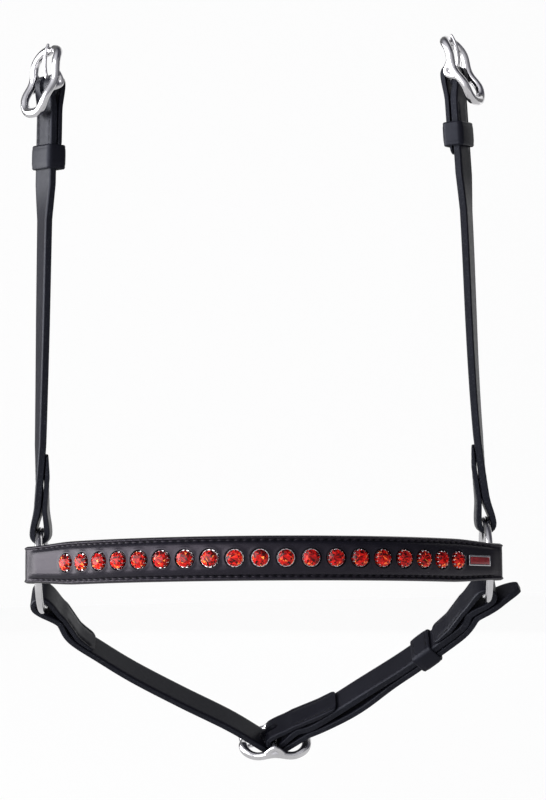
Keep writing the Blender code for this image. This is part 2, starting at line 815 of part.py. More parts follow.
def pad_line(back):
    """The band's line moved back from its base line, with a taper share at each end."""
    end = band_straight_end() - PAD_END_GAP
    arc = min(band_arc(), end - PAD_TAPER - CHANNEL_FADE)
    middle = [arc * (2 * index / BAND_ARC_STEPS - 1) for index in range(BAND_ARC_STEPS + 1)]
    outer = [end - PAD_TAPER * share for share in PAD_END_SHARES]
    runs = [-run for run in outer[::-1]] + middle + outer
    line = []
    for run in runs:
        spot, _, out = band_spot(run)
        line.append(spot - out * back)
    swell = [math.sqrt(max(0, 1 - max(0, (abs(run) - end + PAD_TAPER) / PAD_TAPER) ** 2)) for run in runs]
    return line, swell


def add_padding(parent):
    """The soft pad behind the face, crowned towards the nose, and its lining."""
    line, swell = pad_line(CLEAR)
    narrow = PAD_END_WIDTH_SHARE
    half = [PAD_HEIGHT / 2 * (narrow + (1 - narrow) * share) for share in swell]

    def pad_wall(i, j):
        thin = PAD_END_THICK_SHARE
        return PAD_THICK * PAD_CROWN_SHARES[j] * (thin + (1 - thin) * swell[i])

    ribbon("nose_band_padding", leather("nose_band_padding", PAD_LEATHER), flip(line), half,
           PAD_COLUMN_SHARES, lambda i, j: 0, pad_wall, PAD_THICK, parent, upright, -1, CLEAR)
    half = [LINING_HEIGHT / 2 * (narrow + (1 - narrow) * share) for share in swell]
    ribbon("nose_band_lining", leather("nose_band_lining", PAD_LEATHER), flip(line), half,
           PAD_COLUMN_SHARES, lambda i, j: -pad_wall(i, j) - CLEAR, lambda i, j: LINING_THICK,
           LINING_THICK, parent, upright, -1, CLEAR)


def turned_mesh(name, profile, sides):
    """A closed solid of revolution about Z from a profile of (radius, height)."""
    mesh = bpy.data.meshes.new(name)
    shape = bmesh.new()
    ring = [shape.verts.new((radius, 0, height)) for radius, height in profile]
    edges = [shape.edges.new(pair) for pair in zip(ring, ring[1:])]
    if profile[0][0] > 0:
        edges.append(shape.edges.new((ring[-1], ring[0])))
    bmesh.ops.spin(shape, geom=ring + edges, axis=(0, 0, 1), cent=(0, 0, 0), steps=sides, angle=2 * math.pi)
    bmesh.ops.remove_doubles(shape, verts=shape.verts, dist=MERGE)
    bmesh.ops.recalc_face_normals(shape, faces=shape.faces)
    shape.to_mesh(mesh)
    shape.free()
    return mesh


def add_crystals(parent):
    """The row of cut crystals, each in a metal cup."""
    cup = CRYSTAL_RADIUS + CLEAR + SETTING_WALL
    bore = CRYSTAL_RADIUS + CLEAR
    setting = turned_mesh("crystal_setting", ((0, 0), (cup, 0), (cup, SETTING_HEIGHT), (bore, SETTING_HEIGHT),
                                               (bore, SETTING_FLOOR), (0, SETTING_FLOOR)), CRYSTAL_SIDES)
    seat = SETTING_FLOOR + CLEAR
    edge = SETTING_HEIGHT - CRYSTAL_GIRDLE
    crystal = turned_mesh("crystal", ((0, seat), (CRYSTAL_RADIUS, edge),
                                       (CRYSTAL_RADIUS, SETTING_HEIGHT),
                                       (CRYSTAL_RADIUS * CRYSTAL_TABLE_SHARE, SETTING_HEIGHT + CRYSTAL_CROWN),
                                       (0, SETTING_HEIGHT + CRYSTAL_CROWN)), CRYSTAL_SIDES)
    base = crown() - RECESS_DEPTH + CLEAR
    for index, run in enumerate(crystal_runs()):
        place = on_band(run, base)
        name = f"crystal_setting_{index + 1:02d}"
        add_part(name, setting.copy(), metal(name), parent, place)
        name = f"crystal_{index + 1:02d}"
        add_part(name, crystal.copy(), finish(name, RED_GLASS, 0.05, 0), parent, place)


def plate_run():
    last = crystal_runs()[-1]
    return last + recess_radius() + PLATE_GAP + PLATE_LENGTH / 2


def add_plate(parent):
    """The small plate past the last crystal: a metal tray with a bare enamel field."""
    place = on_band(plate_run(), crown() + CLEAR + PLATE_THICK / 2)
    tray = box_mesh("plate_frame", (PLATE_LENGTH, PLATE_HEIGHT, PLATE_THICK))
    thing = add_part("plate_frame", tray, metal("plate_frame"), parent, place)
    field = (PLATE_LENGTH - 2 * PLATE_RIM, PLATE_HEIGHT - 2 * PLATE_RIM)
    well = box_mesh("plate_well", (*field, PLATE_SINK * 2))
    lift = Matrix.Translation((0, 0, PLATE_THICK / 2))
    cut(thing, add_cutter("plate_well", well, parent, place @ lift))
    depth = PLATE_SINK + PLATE_PROUD - CLEAR
    enamel = box_mesh("plate_enamel", (field[0] - 2 * CLEAR, field[1] - 2 * CLEAR, depth))
    height = PLATE_THICK / 2 + PLATE_PROUD - depth / 2
    add_part("plate_enamel", enamel, finish("plate_enamel", RED_ENAMEL, 0.25, 0), parent,
             place @ Matrix.Translation((0, 0, height)))


def add_band_threads(parent):
    """The two rows of stitching: each thread swells over a stitch and dives between."""
    end = band_straight_end() - STITCH_PITCH
    count = int(2 * end / STITCH_PITCH)
    row = STITCH_LINE_SHARE * FACE_HEIGHT / 2
    height = FACE_THICK + STITCH_LIFT + THREAD_RADIUS
    for word, side in (("upper", 1), ("lower", -1)):
        points = []
        shares = []
        for index in range(2 * count + 1):
            run = (index - count) * STITCH_PITCH / 2
            points.append(on_band(run, height, side * row).translation)
            shares.append(1 if index % 2 else THREAD_DIVE_SHARE)
        name = f"band_{word}_thread"
        mesh = curve_mesh(name, points, THREAD_RADIUS, shares, resolution=0)
        add_part(name, mesh, finish(name, THREAD, 0.6, 0), parent)


def chin_points(side):
    """Control points of a chin strap's main strand, from its ring to the buckle."""
    bar = chin_bar()
    points = []
    for across, down in LEFT_CHIN_SHARES if side < 0 else RIGHT_CHIN_SHARES:
        x = bar.x + (side * RING_SPREAD - bar.x) * across
        points.append(Vector((x, -CHIN_DROP * down)))
    return points


def chin_bar():
    return Vector((CHIN_SHIFT, -CHIN_DROP))


def chin_ring_fold(side):
    away = Vector((-side * math.cos(CHIN_RING_SLOPE), -math.sin(CHIN_RING_SLOPE)))
    inner = Vector((-side * math.sin(CHIN_RING_SLOPE), math.cos(CHIN_RING_SLOPE)))
    wire = Vector((side * RING_SPREAD, -RING_RADIUS))
    slip = LEFT_CHIN_SLIP if side < 0 else RIGHT_CHIN_SLIP
    eye = wire - away * slip + inner * (CHIN_LOOP_RADIUS - RING_WIRE - CLEAR)
    main = STRAP_THICK if side > 0 else BILLET_THICK
    return strap_fold(eye, away, inner, CHIN_LOOP_RADIUS + FOLD_THICK / 2, CHIN_TURN, main)


def chape_fold():
    away = unit(CHIN_BAR_SLOPE)
    inner = Vector((-away.y, away.x))
    return strap_fold(chin_bar(), away, inner, bar_fold_radius(), CHAPE_TURN)


def right_chin_line():
    """Main strand of the right chin strap, from the chape's throat to the ring's."""
    start = chape_fold()[0][0]
    end = chin_ring_fold(1)[0][0]
    return smooth_line([start] + chin_points(1)[::-1] + [end], CHIN_STEP)


def add_right_chin_strap(parent):
    middle = [(place, STRAP_THICK) for place in right_chin_line()[1:-1]]
    track = chape_fold()[::-1] + middle + chin_ring_fold(1)
    name = "right_chin_strap"
    thing = strap(name, track, parent)
    slot = box_mesh(name + "_slot", (SLOT_DEPTH + 2 * bar_fold_radius(), SLOT_WIDTH, 4 * bar_fold_radius()))
    shift = bar_fold_radius() - SLOT_DEPTH / 2
    bar = chin_bar()
    place = Matrix.Translation((bar.x, 0, bar.y)) @ Matrix.Rotation(-CHIN_BAR_SLOPE, 4, "Y")
    cut(thing, add_cutter(name + "_slot", slot, parent, place @ Matrix.Translation((-shift, 0, 0))))
    return thing


def billet_arch():
    """The billet's way round the outer side of the folded chape at the bar."""
    radius = bar_fold_radius() + FOLD_THICK / 2 + CLEAR + BILLET_THICK / 2
    first = -math.pi / 2 - CHIN_BAR_SLOPE
    last = -math.pi / 2 + CHIN_BAR_SLOPE
    return [chin_bar() + unit(first + (last - first) * index / 6) * radius for index in range(7)]


def billet_outer_line():
    """The billet past the buckle: beside the right strap, with a gap halfway."""
    whole = right_chin_line() + [place for place, _ in chin_ring_fold(1)[1:FOLD_STEPS + 1]]
    normals = normals_of(whole)
    runs = [0]
    for before, after in zip(whole, whole[1:]):
        runs.append(runs[-1] + (after - before).length)
    beside = (STRAP_THICK + BILLET_THICK) / 2 + CLEAR
    points = []
    for place, normal, run in zip(whole, normals, runs):
        share = (run - BILLET_BULGE_START) / (BILLET_BULGE_END - BILLET_BULGE_START)
        bulge = BILLET_BULGE * math.sin(math.pi * share) ** 2 if 0 < share < 1 else 0
        if run > BILLET_BULGE_START:
            points.append(place - normal * (beside + bulge))
    way = (points[-1] - points[-2]).normalized()
    past = BILLET_PAST_RING + BILLET_POINT
    for index in range(1, BILLET_TIP_STEPS + 1):
        turn = index / BILLET_TIP_STEPS * BILLET_TIP_TURN
        points.append(points[-1] + Matrix.Rotation(turn, 2) @ way * (past / BILLET_TIP_STEPS))
    return points


def add_left_chin_strap(parent):
    """The long strap: ring fold, main strand, way through the buckle, and billet."""
    ring = chin_ring_fold(-1)
    arch = billet_arch()
    billet = billet_outer_line()
    start = ring[0][0]
    main = smooth_line([start] + chin_points(-1) + [arch[0]], CHIN_STEP)[1:-1]
    track = ring[::-1] + [(place, BILLET_THICK) for place in main + arch + billet]
    widths = [STRAP_WIDTH / 2] * len(track)
    run = 0
    for index in range(len(track) - 1, 0, -1):
        share = BILLET_POINT_SHARE + (1 - BILLET_POINT_SHARE) * math.sqrt(min(1, run / BILLET_POINT))
        widths[index] = STRAP_WIDTH / 2 * share
        run += (track[index][0] - track[index - 1][0]).length
    name = "left_chin_strap"
    thing = strap(name, track, parent, width=widths)
    add_billet_holes(thing, parent, arch, billet)
    return thing


def add_billet_holes(thing, parent, arch, billet):
    """A long hole for the tongue and round ones further along the billet."""
    bar = chin_bar()
    spoke = (arch[0] - bar).normalized()
    middle = arch[0] + Vector((-spoke.y, spoke.x)) * -TONGUE_HOLE_LENGTH * TONGUE_HOLE_SHARE
    angle = math.atan2(spoke.y, spoke.x) + math.pi / 2
    hole = box_mesh("tongue_hole", (TONGUE_HOLE_LENGTH, SLOT_WIDTH, BILLET_THICK + OVERRUN))
    place = Matrix.Translation((middle.x, 0, middle.y)) @ Matrix.Rotation(-angle, 4, "Y")
    cut(thing, add_cutter("tongue_hole", hole, parent, place))
    runs = [0]
    for before, after in zip(billet, billet[1:]):
        runs.append(runs[-1] + (after - before).length)
    for number in range(1, BILLET_HOLES + 1):
        want = BILLET_HOLE_PITCH * number
        index = max(i for i, run in enumerate(runs) if run <= want)
        way = (billet[index + 1] - billet[index]).normalized()
        spot = billet[index] + way * (want - runs[index])
        rod = rod_mesh(f"billet_hole_{number}", BILLET_HOLE, BILLET_THICK + OVERRUN, 10)
        turn = Matrix.Rotation(-math.atan2(way.y, way.x), 4, "Y")
        place = Matrix.Translation((spot.x, 0, spot.y)) @ turn
        cut(thing, add_cutter(f"billet_hole_{number}", rod, parent, place))


def add_chin_buckle(parent):
    """The same buckle as at the top, lying along X with its tongue to the left."""
    bar = chin_bar()
    x = Vector((0, 0, -1))
    z = Vector((-1, 0, 0))
    y = z.cross(x)
    lie = Matrix((x, y, z)).transposed().to_4x4()
    pivot = add_empty("chin_buckle_pivot", Matrix.Translation((bar.x, 0, bar.y)) @ lie, parent)
    add_part("chin_buckle_frame", frame_mesh("chin_buckle_frame", 1), metal("chin_buckle_frame"), pivot)
    add_part("chin_buckle_tongue", tongue_mesh("chin_buckle_tongue", 1), metal("chin_buckle_tongue"), pivot)


def chin_keeper_place():
    """Seat of the chin keeper: its Z runs along the straps, towards the right ring."""
    whole = right_chin_line()
    run = 0
    index = len(whole) - 1
    while run < CHIN_KEEPER_FROM_RING:
        run += (whole[index] - whole[index - 1]).length
        index -= 1
    way = (whole[index + 1] - whole[index]).normalized()
    spot = whole[index] + way * (run - CHIN_KEEPER_FROM_RING)
    out = Vector((way.y, -way.x))
    beside = (STRAP_THICK + BILLET_THICK) / 2 + CLEAR
    spot = spot + out * (beside + BILLET_THICK / 2 - STRAP_THICK / 2) / 2
    z = Vector((way.x, 0, way.y))
    x = Vector((out.x, 0, out.y))
    matrix = Matrix((x, z.cross(x), z)).transposed().to_4x4()
    return Matrix.Translation((spot.x, 0, spot.y)) @ matrix


def build():
    add_cheek("left", -1, LEFT_TWIST, LEFT_RING_LEAN, LEFT_BUCKLE_TILT, LEFT_KEEPER_DROP)
    add_cheek("right", 1, RIGHT_TWIST, RIGHT_RING_LEAN, RIGHT_BUCKLE_TILT, RIGHT_KEEPER_DROP)
    add_ring("left", -1)
    add_ring("right", 1)
    axis = Matrix.Translation((0, 0, -RING_DROP))
    level = Matrix.Rotation(BAND_LEVEL, 4, "Y")
    band = add_empty("nose_band_axis", axis @ Matrix.Rotation(-BAND_TILT, 4, "X") @ level)
    add_face(band)
    add_padding(band)
    add_crystals(band)
    add_plate(band)
    add_band_threads(band)
    chin = add_empty("chin_strap_axis", axis @ Matrix.Rotation(CHIN_TILT, 4, "X"))
    add_right_chin_strap(chin)
    add_left_chin_strap(chin)
    add_chin_buckle(chin)
    keeper = keeper_mesh("chin_keeper", CHIN_KEEPER_DEPTH)
    add_part("chin_keeper", keeper, leather("chin_keeper"), chin, chin_keeper_place())


clear_scene()
PARTS = new_collection("bridle_noseband")
CUTTERS = new_collection("cutters")
build()
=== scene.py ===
"""Looks of a jewelled bridle noseband in padded black leather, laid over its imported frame.

The straps are made lying flat, with X along the strap, Y through its wall and Z
across it. They are punched and stitched there, and then bent along their own line.
The band's red stones sit in claw cups, and the buckles are cast in one piece.
"""

import json
import math
import random

import bpy
from mathutils import Matrix, Vector


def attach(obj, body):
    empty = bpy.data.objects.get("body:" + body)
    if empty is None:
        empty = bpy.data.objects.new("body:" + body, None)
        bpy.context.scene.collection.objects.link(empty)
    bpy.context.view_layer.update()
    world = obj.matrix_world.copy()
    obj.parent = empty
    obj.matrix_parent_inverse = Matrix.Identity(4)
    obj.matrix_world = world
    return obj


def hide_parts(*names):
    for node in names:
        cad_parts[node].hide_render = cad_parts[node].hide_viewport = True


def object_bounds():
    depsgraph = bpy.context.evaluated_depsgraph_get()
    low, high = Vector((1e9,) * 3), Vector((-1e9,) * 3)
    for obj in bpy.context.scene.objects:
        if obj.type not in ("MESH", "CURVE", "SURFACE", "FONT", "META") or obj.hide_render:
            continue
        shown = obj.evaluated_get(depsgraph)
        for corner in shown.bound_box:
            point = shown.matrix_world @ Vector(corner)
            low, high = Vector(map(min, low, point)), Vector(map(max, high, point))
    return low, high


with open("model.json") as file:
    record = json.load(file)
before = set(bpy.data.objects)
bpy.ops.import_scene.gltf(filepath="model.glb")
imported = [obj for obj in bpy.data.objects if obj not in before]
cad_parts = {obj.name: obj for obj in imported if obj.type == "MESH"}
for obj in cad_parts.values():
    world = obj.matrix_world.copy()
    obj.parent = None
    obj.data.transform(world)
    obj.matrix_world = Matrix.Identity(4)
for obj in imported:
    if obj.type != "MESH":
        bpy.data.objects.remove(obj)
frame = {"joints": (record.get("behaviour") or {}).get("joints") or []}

bl_info = {
    "name": "Bridle noseband",
    "version": (1, 0, 0),
    "blender": (4, 5, 0),
    "location": "View3D > Sidebar > Noseband",
    "description": "Leather, stones, stitching and cast metal for a jewelled bridle noseband",
    "category": "Add Mesh",
}

JOINTS = {joint["name"]: joint for joint in frame["joints"]}
CAD_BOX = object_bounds()

MM = 0.001
DEG = math.pi / 180
SIDES = (("left", -1), ("right", 1))
CLEAR = 0.3 * MM
MERGE = 0.01 * MM
SHARP_ANGLE = 38.0 * DEG
RIM_ANGLE = 60.0 * DEG

# Layout, read from the frame's joints
BAR_SPREAD = JOINTS["right_buckle_tilt"]["pos_m"][0]
RING_SPREAD = JOINTS["right_ring_spin"]["pos_m"][0]
RING_DROP = -JOINTS["right_ring_spin"]["pos_m"][2]
CHIN_BAR_PLACE = Vector(JOINTS["chin_buckle_pivot"]["pos_m"])
CHIN_DROP = math.hypot(CHIN_BAR_PLACE.y, CHIN_BAR_PLACE.z + RING_DROP)
CHIN_TILT = math.atan2(CHIN_BAR_PLACE.y, -CHIN_BAR_PLACE.z - RING_DROP)
CHIN_SHIFT = CHIN_BAR_PLACE.x

# Rings
RING_RADIUS = 20.0 * MM
RING_WIRE = 1.8 * MM

# Strap leather
STRAP_WIDTH = 15.0 * MM
STRAP_THICK = 3.9 * MM
FOLD_THICK = 3.0 * MM
TURN_THICK = 2.6 * MM
TIP_THICK = 1.2 * MM
FOLD_THROAT = 14.0 * MM
TIP_RUN = 11.0 * MM
TURN_TIP_GAP = 2.5 * MM
TIP_CORNER = 3.0 * MM
FOLD_STEPS = 14
LOOP_STEPS = 28
TIP_STEPS = 6
ROW_STEP = 1.3 * MM
STRAP_SHARES = (-1, -0.95, -0.88, -0.8, -0.74, -0.68, -0.35, 0, 0.35, 0.68, 0.74, 0.8, 0.88, 0.95, 1)
STRAP_CROWN_SHARES = (0.7, 0.88, 0.97, 1, 1, 1, 1, 1, 1, 1, 1, 1, 0.97, 0.88, 0.7)
SEWN_COLUMNS = (4, 10)
SEW_DIP = 0.7 * MM
SEW_PUCKER = 0.65
STITCH_SHARE = 0.42
COUNT_SLACK = 0.01
THREAD_SINK = 0.28 * MM
THREAD_PROUD = 0.6

# Cheekpieces
TOP_TURN = 40.0 * MM
RING_TURN = 40.0 * MM
TWISTS = {-1: 36.0 * DEG, 1: 26.0 * DEG}
TWIST_START = 50.0 * MM
TWIST_END_GAP = 10.0 * MM
TWIST_RUN_SHARES = (0, 0.11, 0.43, 0.8, 1)
TWIST_SHARES = (1, 0.65, 0.58, 0.42, 0)
CHEEK_STEPS = 90
RING_LEANS = {-1: 0.5 * DEG, 1: 3.5 * DEG}
BUCKLE_TILTS = {-1: 17.0 * DEG, 1: 22.0 * DEG}
KEEPER_DROPS = {-1: 36.5 * MM, 1: 30.0 * MM}

# Buckles and tongues
BAR_RADIUS = 1.6 * MM
BUCKLE_HALF_LENGTH = 16.8 * MM
BUCKLE_HALF_WIDTH = 10.7 * MM
BUCKLE_WIRE = 2.15 * MM
BUCKLE_SET = 4.0 * MM
BUCKLE_WAVE = 1.8 * MM
CORNER_POWER = 0.62
CREST_SHARE = 0.6
HUMP_WIRE = 1.55 * MM
HUMP_REACH = 7.0 * MM
END_SWELL_SHARE = 1.15
NOTCH_SHARE = 0.78
TONGUE_WIRE = 1.1 * MM
TONGUE_TIP_SHARE = 0.7
TONGUE_ROOT_SHARES = (0.85, 0.6)
TONGUE_LINE_SHARES = ((0.62, 0.3), (0.88, 0.6), (1, 0.92))
TONGUE_DIP_SHARE = 0.98
TONGUE_EYE = 3.0 * MM
TONGUE_EYE_WIDTH = 2.8 * MM
TONGUE_OVERHANG = 2.2 * MM
SLOT_WIDTH = 3.8 * MM
SLOT_DEPTH = 5.0 * MM

# Keepers
KEEPER_WALL = 1.5 * MM
KEEPER_HEIGHT = 12.0 * MM
KEEPER_DEPTH = 8.0 * MM
CHIN_KEEPER_DEPTH = 8.5 * MM
KEEPER_SIDE_GAP = 0.3 * MM
KEEPER_CORNER = 1.3 * MM

# Nose band
BAND_TILT = 6.5 * DEG
BAND_LEVEL = 1.0 * DEG
BAND_REACH = 84.0 * MM
BAND_TIGHTENING = 8.6 * MM
FACE_HEIGHT = 20.8 * MM
FACE_END_HEIGHT = 18.0 * MM
FACE_TAPER = 34.0 * MM
FACE_THICK = 2.2 * MM
CHANNEL_RISE = 2.0 * MM
CHANNEL_FADE = 13.0 * MM
CHANNEL_END_GAP = 9.1 * MM
BAND_TURN = 20.0 * MM
BAND_LOOP_RADIUS = 4.0 * MM
BAND_LOOP_BACK = 1.4 * MM
BAND_LOOP_IN = 1.4 * MM
BAND_THROAT = 9.0 * MM
BAND_STEP = 1.6 * MM

# Pad behind the nose band
PAD_HEIGHT = 22.6 * MM
PAD_THICK = 6.0 * MM
PAD_END_GAP = 24.0 * MM
PAD_TAPER = 26.0 * MM

# Stones in their claw cups
STONE_COUNT = 19
STONE_SHIFT = -1.1 * MM
CRYSTAL_RADIUS = 3.6 * MM
SETTING_WALL = 0.55 * MM
SETTING_HEIGHT = 2.2 * MM
SETTING_FLOOR = 0.7 * MM
CROWN_HEIGHT = 1.5 * MM
RECESS_DEPTH = 1.7 * MM
RECESS_MARGIN = 0.35 * MM

# Plate, left bare
PLATE_LENGTH = 15.5 * MM
PLATE_HEIGHT = 5.0 * MM
PLATE_THICK = 0.9 * MM
PLATE_RIM = 0.7 * MM
PLATE_SINK = 0.4 * MM
PLATE_PROUD = 0.15 * MM
PLATE_GAP = 2.2 * MM

# Chin strap
CHIN_RING_SLOPE = 47.0 * DEG
CHIN_BAR_SLOPE = 37.0 * DEG
CHIN_TURN = 38.0 * MM
CHAPE_TURN = 40.0 * MM
CHIN_LOOP_RADIUS = 2.7 * MM
CHIN_SLIPS = {-1: 2.4 * MM, 1: 0.7 * MM}
CHIN_SHARES = {
    -1: ((0.895, 0.36), (0.77, 0.478), (0.625, 0.603), (0.42, 0.755), (0.2, 0.91)),
    1: ((0.895, 0.34), (0.77, 0.455), (0.625, 0.58), (0.42, 0.735), (0.2, 0.9)),
}
CHIN_STEP = 1.5 * MM
BILLET_THICK = 3.5 * MM
BILLET_BULGE = 2.4 * MM
BILLET_BULGE_START = 4.0 * MM
BILLET_BULGE_END = 64.0 * MM
BILLET_PAST_RING = 0.5 * MM
BILLET_POINT = 13.0 * MM
BILLET_POINT_SHARE = 0.22
BILLET_TIP_TURN = -14.0 * DEG
BILLET_TIP_STEPS = 10
BILLET_EASING = 12
BILLET_HOLE = 1.6 * MM
BILLET_HOLE_PITCH = 24.0 * MM
BILLET_HOLES = 3
TONGUE_HOLE_LENGTH = 9.4 * MM
TONGUE_HOLE_SHARE = 0.17
CHIN_KEEPER_FROM_RING = 34.0 * MM

# Cutters run past what they cut by this much
OVERRUN = 2.0 * MM

# Surface of the nose band's face
FACE_STEP = 0.65 * MM
FACE_COLUMNS = 24
FACE_SHARP = 50.0 * DEG
CHANNEL_SHARES = ((0, 1), (0.3, 0.99), (0.5, 0.92), (0.62, 0.74), (0.72, 0.4), (0.8, 0), (1, 0))
ROW_DIP = 0.9 * MM
BAND_PUCKER = 0.6
ROW_WIDTH_SHARE = 0.05
ROW_END_GAP = 6.0 * MM
ROW_FADE = 3.0 * MM
BEAD_RISE = 0.55 * MM
BEAD_SHARE = 0.9
BEAD_WIDTH_SHARE = 0.06
EDGE_SHARE = 0.9
EDGE_DROP = 0.9 * MM
LIP_RISE = 0.3 * MM
LIP_WIDTH = 0.9 * MM

# Filling of the pad
PAD_STEP = 1.2 * MM
PAD_COLUMNS = 12
PAD_CELL = 0.9 * MM
PAD_FRAMES = 20
PAD_MASS = 0.05
PAD_PRESSURE = 4
PAD_SWELL = 0.7 * MM
PAD_END_SHARE = 0.25
PAD_NARROW_SHARE = 0.8
PAD_SEAM_DEPTH = 1.5 * MM
PAD_SEAM_WIDTH = 0.9 * MM
PAD_SEAM_DIP = 0.8 * MM

# Shapes of the small metal
METAL_WEAR = {"cast metal": 0.1, "cup metal": 0.12}
FRAME_POINTS = 144
NOTCH_REACH = 3.2 * MM
HUMP_POINTS = 24
FRAME_SOFTNESS = 6
TONGUE_STEP = 0.8 * MM
TONGUE_CELL = 0.2 * MM
TONGUE_SOFTNESS = 3
CUP_HEIGHT = 0.9 * MM
CUP_WALL = 0.3 * MM
CUP_GAP = 0.02 * MM
CLAW_RADIUS = 0.27 * MM
CLAW_LENGTH = 2.2 * MM
CLAW_HEIGHT = 1.75 * MM
CLAW_OUT = 0.12 * MM
CLAW_LEAN = 12.0 * DEG
STONE_SEED = 7
PLATE_SOFT = 0.12 * MM
TOP_FACING = 0.9

# Rings of a cut stone: points, share of its radius, share of its crown, and turn
STONE_RINGS = ((8, 0.5, 1, 0), (8, 0.8, 0.62, math.pi / 8), (16, 1, 0.12, 0), (16, 1, -0.1, 0))
STONE_POINT_SHARE = 0.2
# Painted light on the stones' facets: its mean share, the colour of the painted highlight facets, its lean
# towards the stone's lower side, and its random spread
PAINTED_LIGHT_MEAN = 0.4
PAINTED_HIGHLIGHT_FACETS = (0.75, 0.015, 0.008)
PAINTED_LIGHT_LEAN = 0.16
PAINTED_LIGHT_SPREAD = 0.24

# Keepers' leather
KEEPER_ROWS = 24
KEEPER_WALL_SHARES = ((0, 1), (0.5, 0.98), (0.7, 0.9), (0.78, 0.8), (0.84, 0.87), (0.93, 0.82), (1, 0.55))
KEEPER_ROW_SHARE = 0.66
CUT_FACING = 0.8

# Stage and camera: a lamp has a name, a setting and its share of it, a size and a place
LAMPS = (
    ("key", "key", 1, 1.0, (-0.75, -0.65, 0.3)), ("side", "side", 1, 0.9, (-1.1, 0.06, 0.05)),
    ("fill", "fill", 1, 1.6, (1.1, -1.0, 0.3)), ("rim", "fill", 2, 1.2, (0.25, 1.0, 0.35)),
)
ROOM_WINDOW = (-0.55, -0.75, 0.35)
ROOM_SHADES = (
    (0.0, (0.2, 0.2, 0.24)), (0.38, (0.32, 0.32, 0.37)), (0.56, (0.06, 0.06, 0.09)),
    (0.72, (0.6, 0.6, 0.66)), (0.95, (2.4, 2.4, 2.5)),
)
FLOOR_SHINE = 0.62
BACKDROP_SHINE = 0.15
STAGE_SIZE = 6.0
BACKDROP_DISTANCE = 1.6
CAMERA_PLACE = (0.0065, -1.0885, -0.1605)
CAMERA_ROLL = 1.4 * DEG
CAMERA_LENS = 97.8
CAMERA_SENSOR = 36.0


def colour_setting(name, description, default):
    return bpy.props.FloatVectorProperty(name=name, description=description, subtype="COLOR", size=3,
                                         min=0, max=1, default=default)


def length_setting(name, description, default, least, most):
    return bpy.props.FloatProperty(name=name, description=description, unit="LENGTH", default=default,
                                   min=least, max=most)


def power_setting(name, description, default):
    return bpy.props.FloatProperty(name=name, description=description, unit="POWER", default=default,
                                   min=0, max=500)


class NosebandLeather(bpy.types.PropertyGroup):
    """Leather of the straps and of the nose band's face."""

    colour: colour_setting("Leather", "Colour of the dyed leather", (0.005, 0.005, 0.0085))
    cut_colour: colour_setting("Cut edge", "Colour of the leather where it is cut", (0.005, 0.0055, 0.009))
    lining_colour: colour_setting("Lining", "Colour of the soft lining over the pad", (0.010, 0.009, 0.012))
    rim: length_setting("Rim", "Rounding along the edges of the straps", 0.5 * MM, 0, 1 * MM)


class NosebandStitching(bpy.types.PropertyGroup):
    """Waxed thread in the straps and in the nose band."""

    colour: colour_setting("Thread", "Colour of the waxed thread", (0.003, 0.003, 0.004))
    pitch: length_setting("Pitch", "Length from one stitch to the next", 3.9 * MM, 2 * MM, 6 * MM)
    thread: length_setting("Thread radius", "Half the thickness of the thread", 0.34 * MM, 0.1 * MM, 1 * MM)
    slant: bpy.props.FloatProperty(
        name="Slant", description="How far each stitch turns out of its row", subtype="ANGLE",
        default=7 * DEG, min=0, max=30 * DEG)
    row_share: bpy.props.FloatProperty(
        name="Row place", description="Place of the nose band's rows, as a share of its half height",
        subtype="FACTOR", default=0.8, min=0.5, max=0.95)


class NosebandStones(bpy.types.PropertyGroup):
    """Cut stones and the cups that hold them."""

    radius: length_setting("Stone radius", "Radius of a stone at its girdle", 3.85 * MM, 2 * MM, 4 * MM)
    claws: bpy.props.IntProperty(
        name="Claws", description="Number of claws on a cup", default=12, min=4, max=16)
    # The facet colours paint light on the stones: painted shade on the dark facets, the stones' red, and
    # painted highlights as sparks.
    dark: colour_setting("Dark facets", "Colour of the facets that send no light back",
                         (0.035, 0.0005, 0.001))
    red: colour_setting("Red facets", "Colour of most facets", (0.4, 0.004, 0.004))
    painted_spark: colour_setting("Sparks", "Colour of the brightest facets", (1.0, 0.3, 0.06))


class NosebandMetal(bpy.types.PropertyGroup):
    """Plated rings, buckles, cups and the plate's frame."""

    colour: colour_setting("Plating", "Colour of the bright plating", (0.82, 0.81, 0.83))
    enamel: colour_setting("Enamel", "Colour of the plate's bare field", (0.3, 0.022, 0.028))
    grain: length_setting("Casting grain", "Size of the cells that a cast piece is merged with",
                          0.3 * MM, 0.15 * MM, 1 * MM)


class NosebandStage(bpy.types.PropertyGroup):
    """Floor, lamps and camera."""

    floor_gap: length_setting("Floor gap", "Height of the noseband above the floor", 60 * MM, 0, 1)
    key: power_setting("Key lamp", "Power of the key lamp", 10)
    fill: power_setting("Fill lamp", "Power of the fill lamp", 1.6)
    side: power_setting("Side lamp", "Power of the lamp on the left", 16)
    world: bpy.props.FloatProperty(
        name="Surroundings", description="Brightness of the room round the object",
        default=0.36, min=0, max=2)


def unit(angle):
    return Vector((math.cos(angle), math.sin(angle)))


def ease(t):
    t = min(1, max(0, t))
    return (1 - math.cos(math.pi * t)) / 2


def only(thing):
    """Selects one object and makes it the active one."""
    bpy.ops.object.select_all(action="DESELECT")
    thing.select_set(True)
    bpy.context.view_layer.objects.active = thing


def chosen(group):
    """The user's settings of one group."""
    return getattr(bpy.context.scene, "noseband_" + group)


def turned(angle, axis):
    return Matrix.Rotation(angle, 4, axis)


def shifted(x, y, z):
    return Matrix.Translation((x, y, z))


def axes(x, z):
    """The turn that brings X and Z round to two ways."""
    return Matrix((x, z.cross(x), z)).transposed().to_4x4()


def take_new(name):
    """Names the object that an operator has just added."""
    thing = bpy.context.object
    thing.name = name
    thing.data.name = name
    return thing


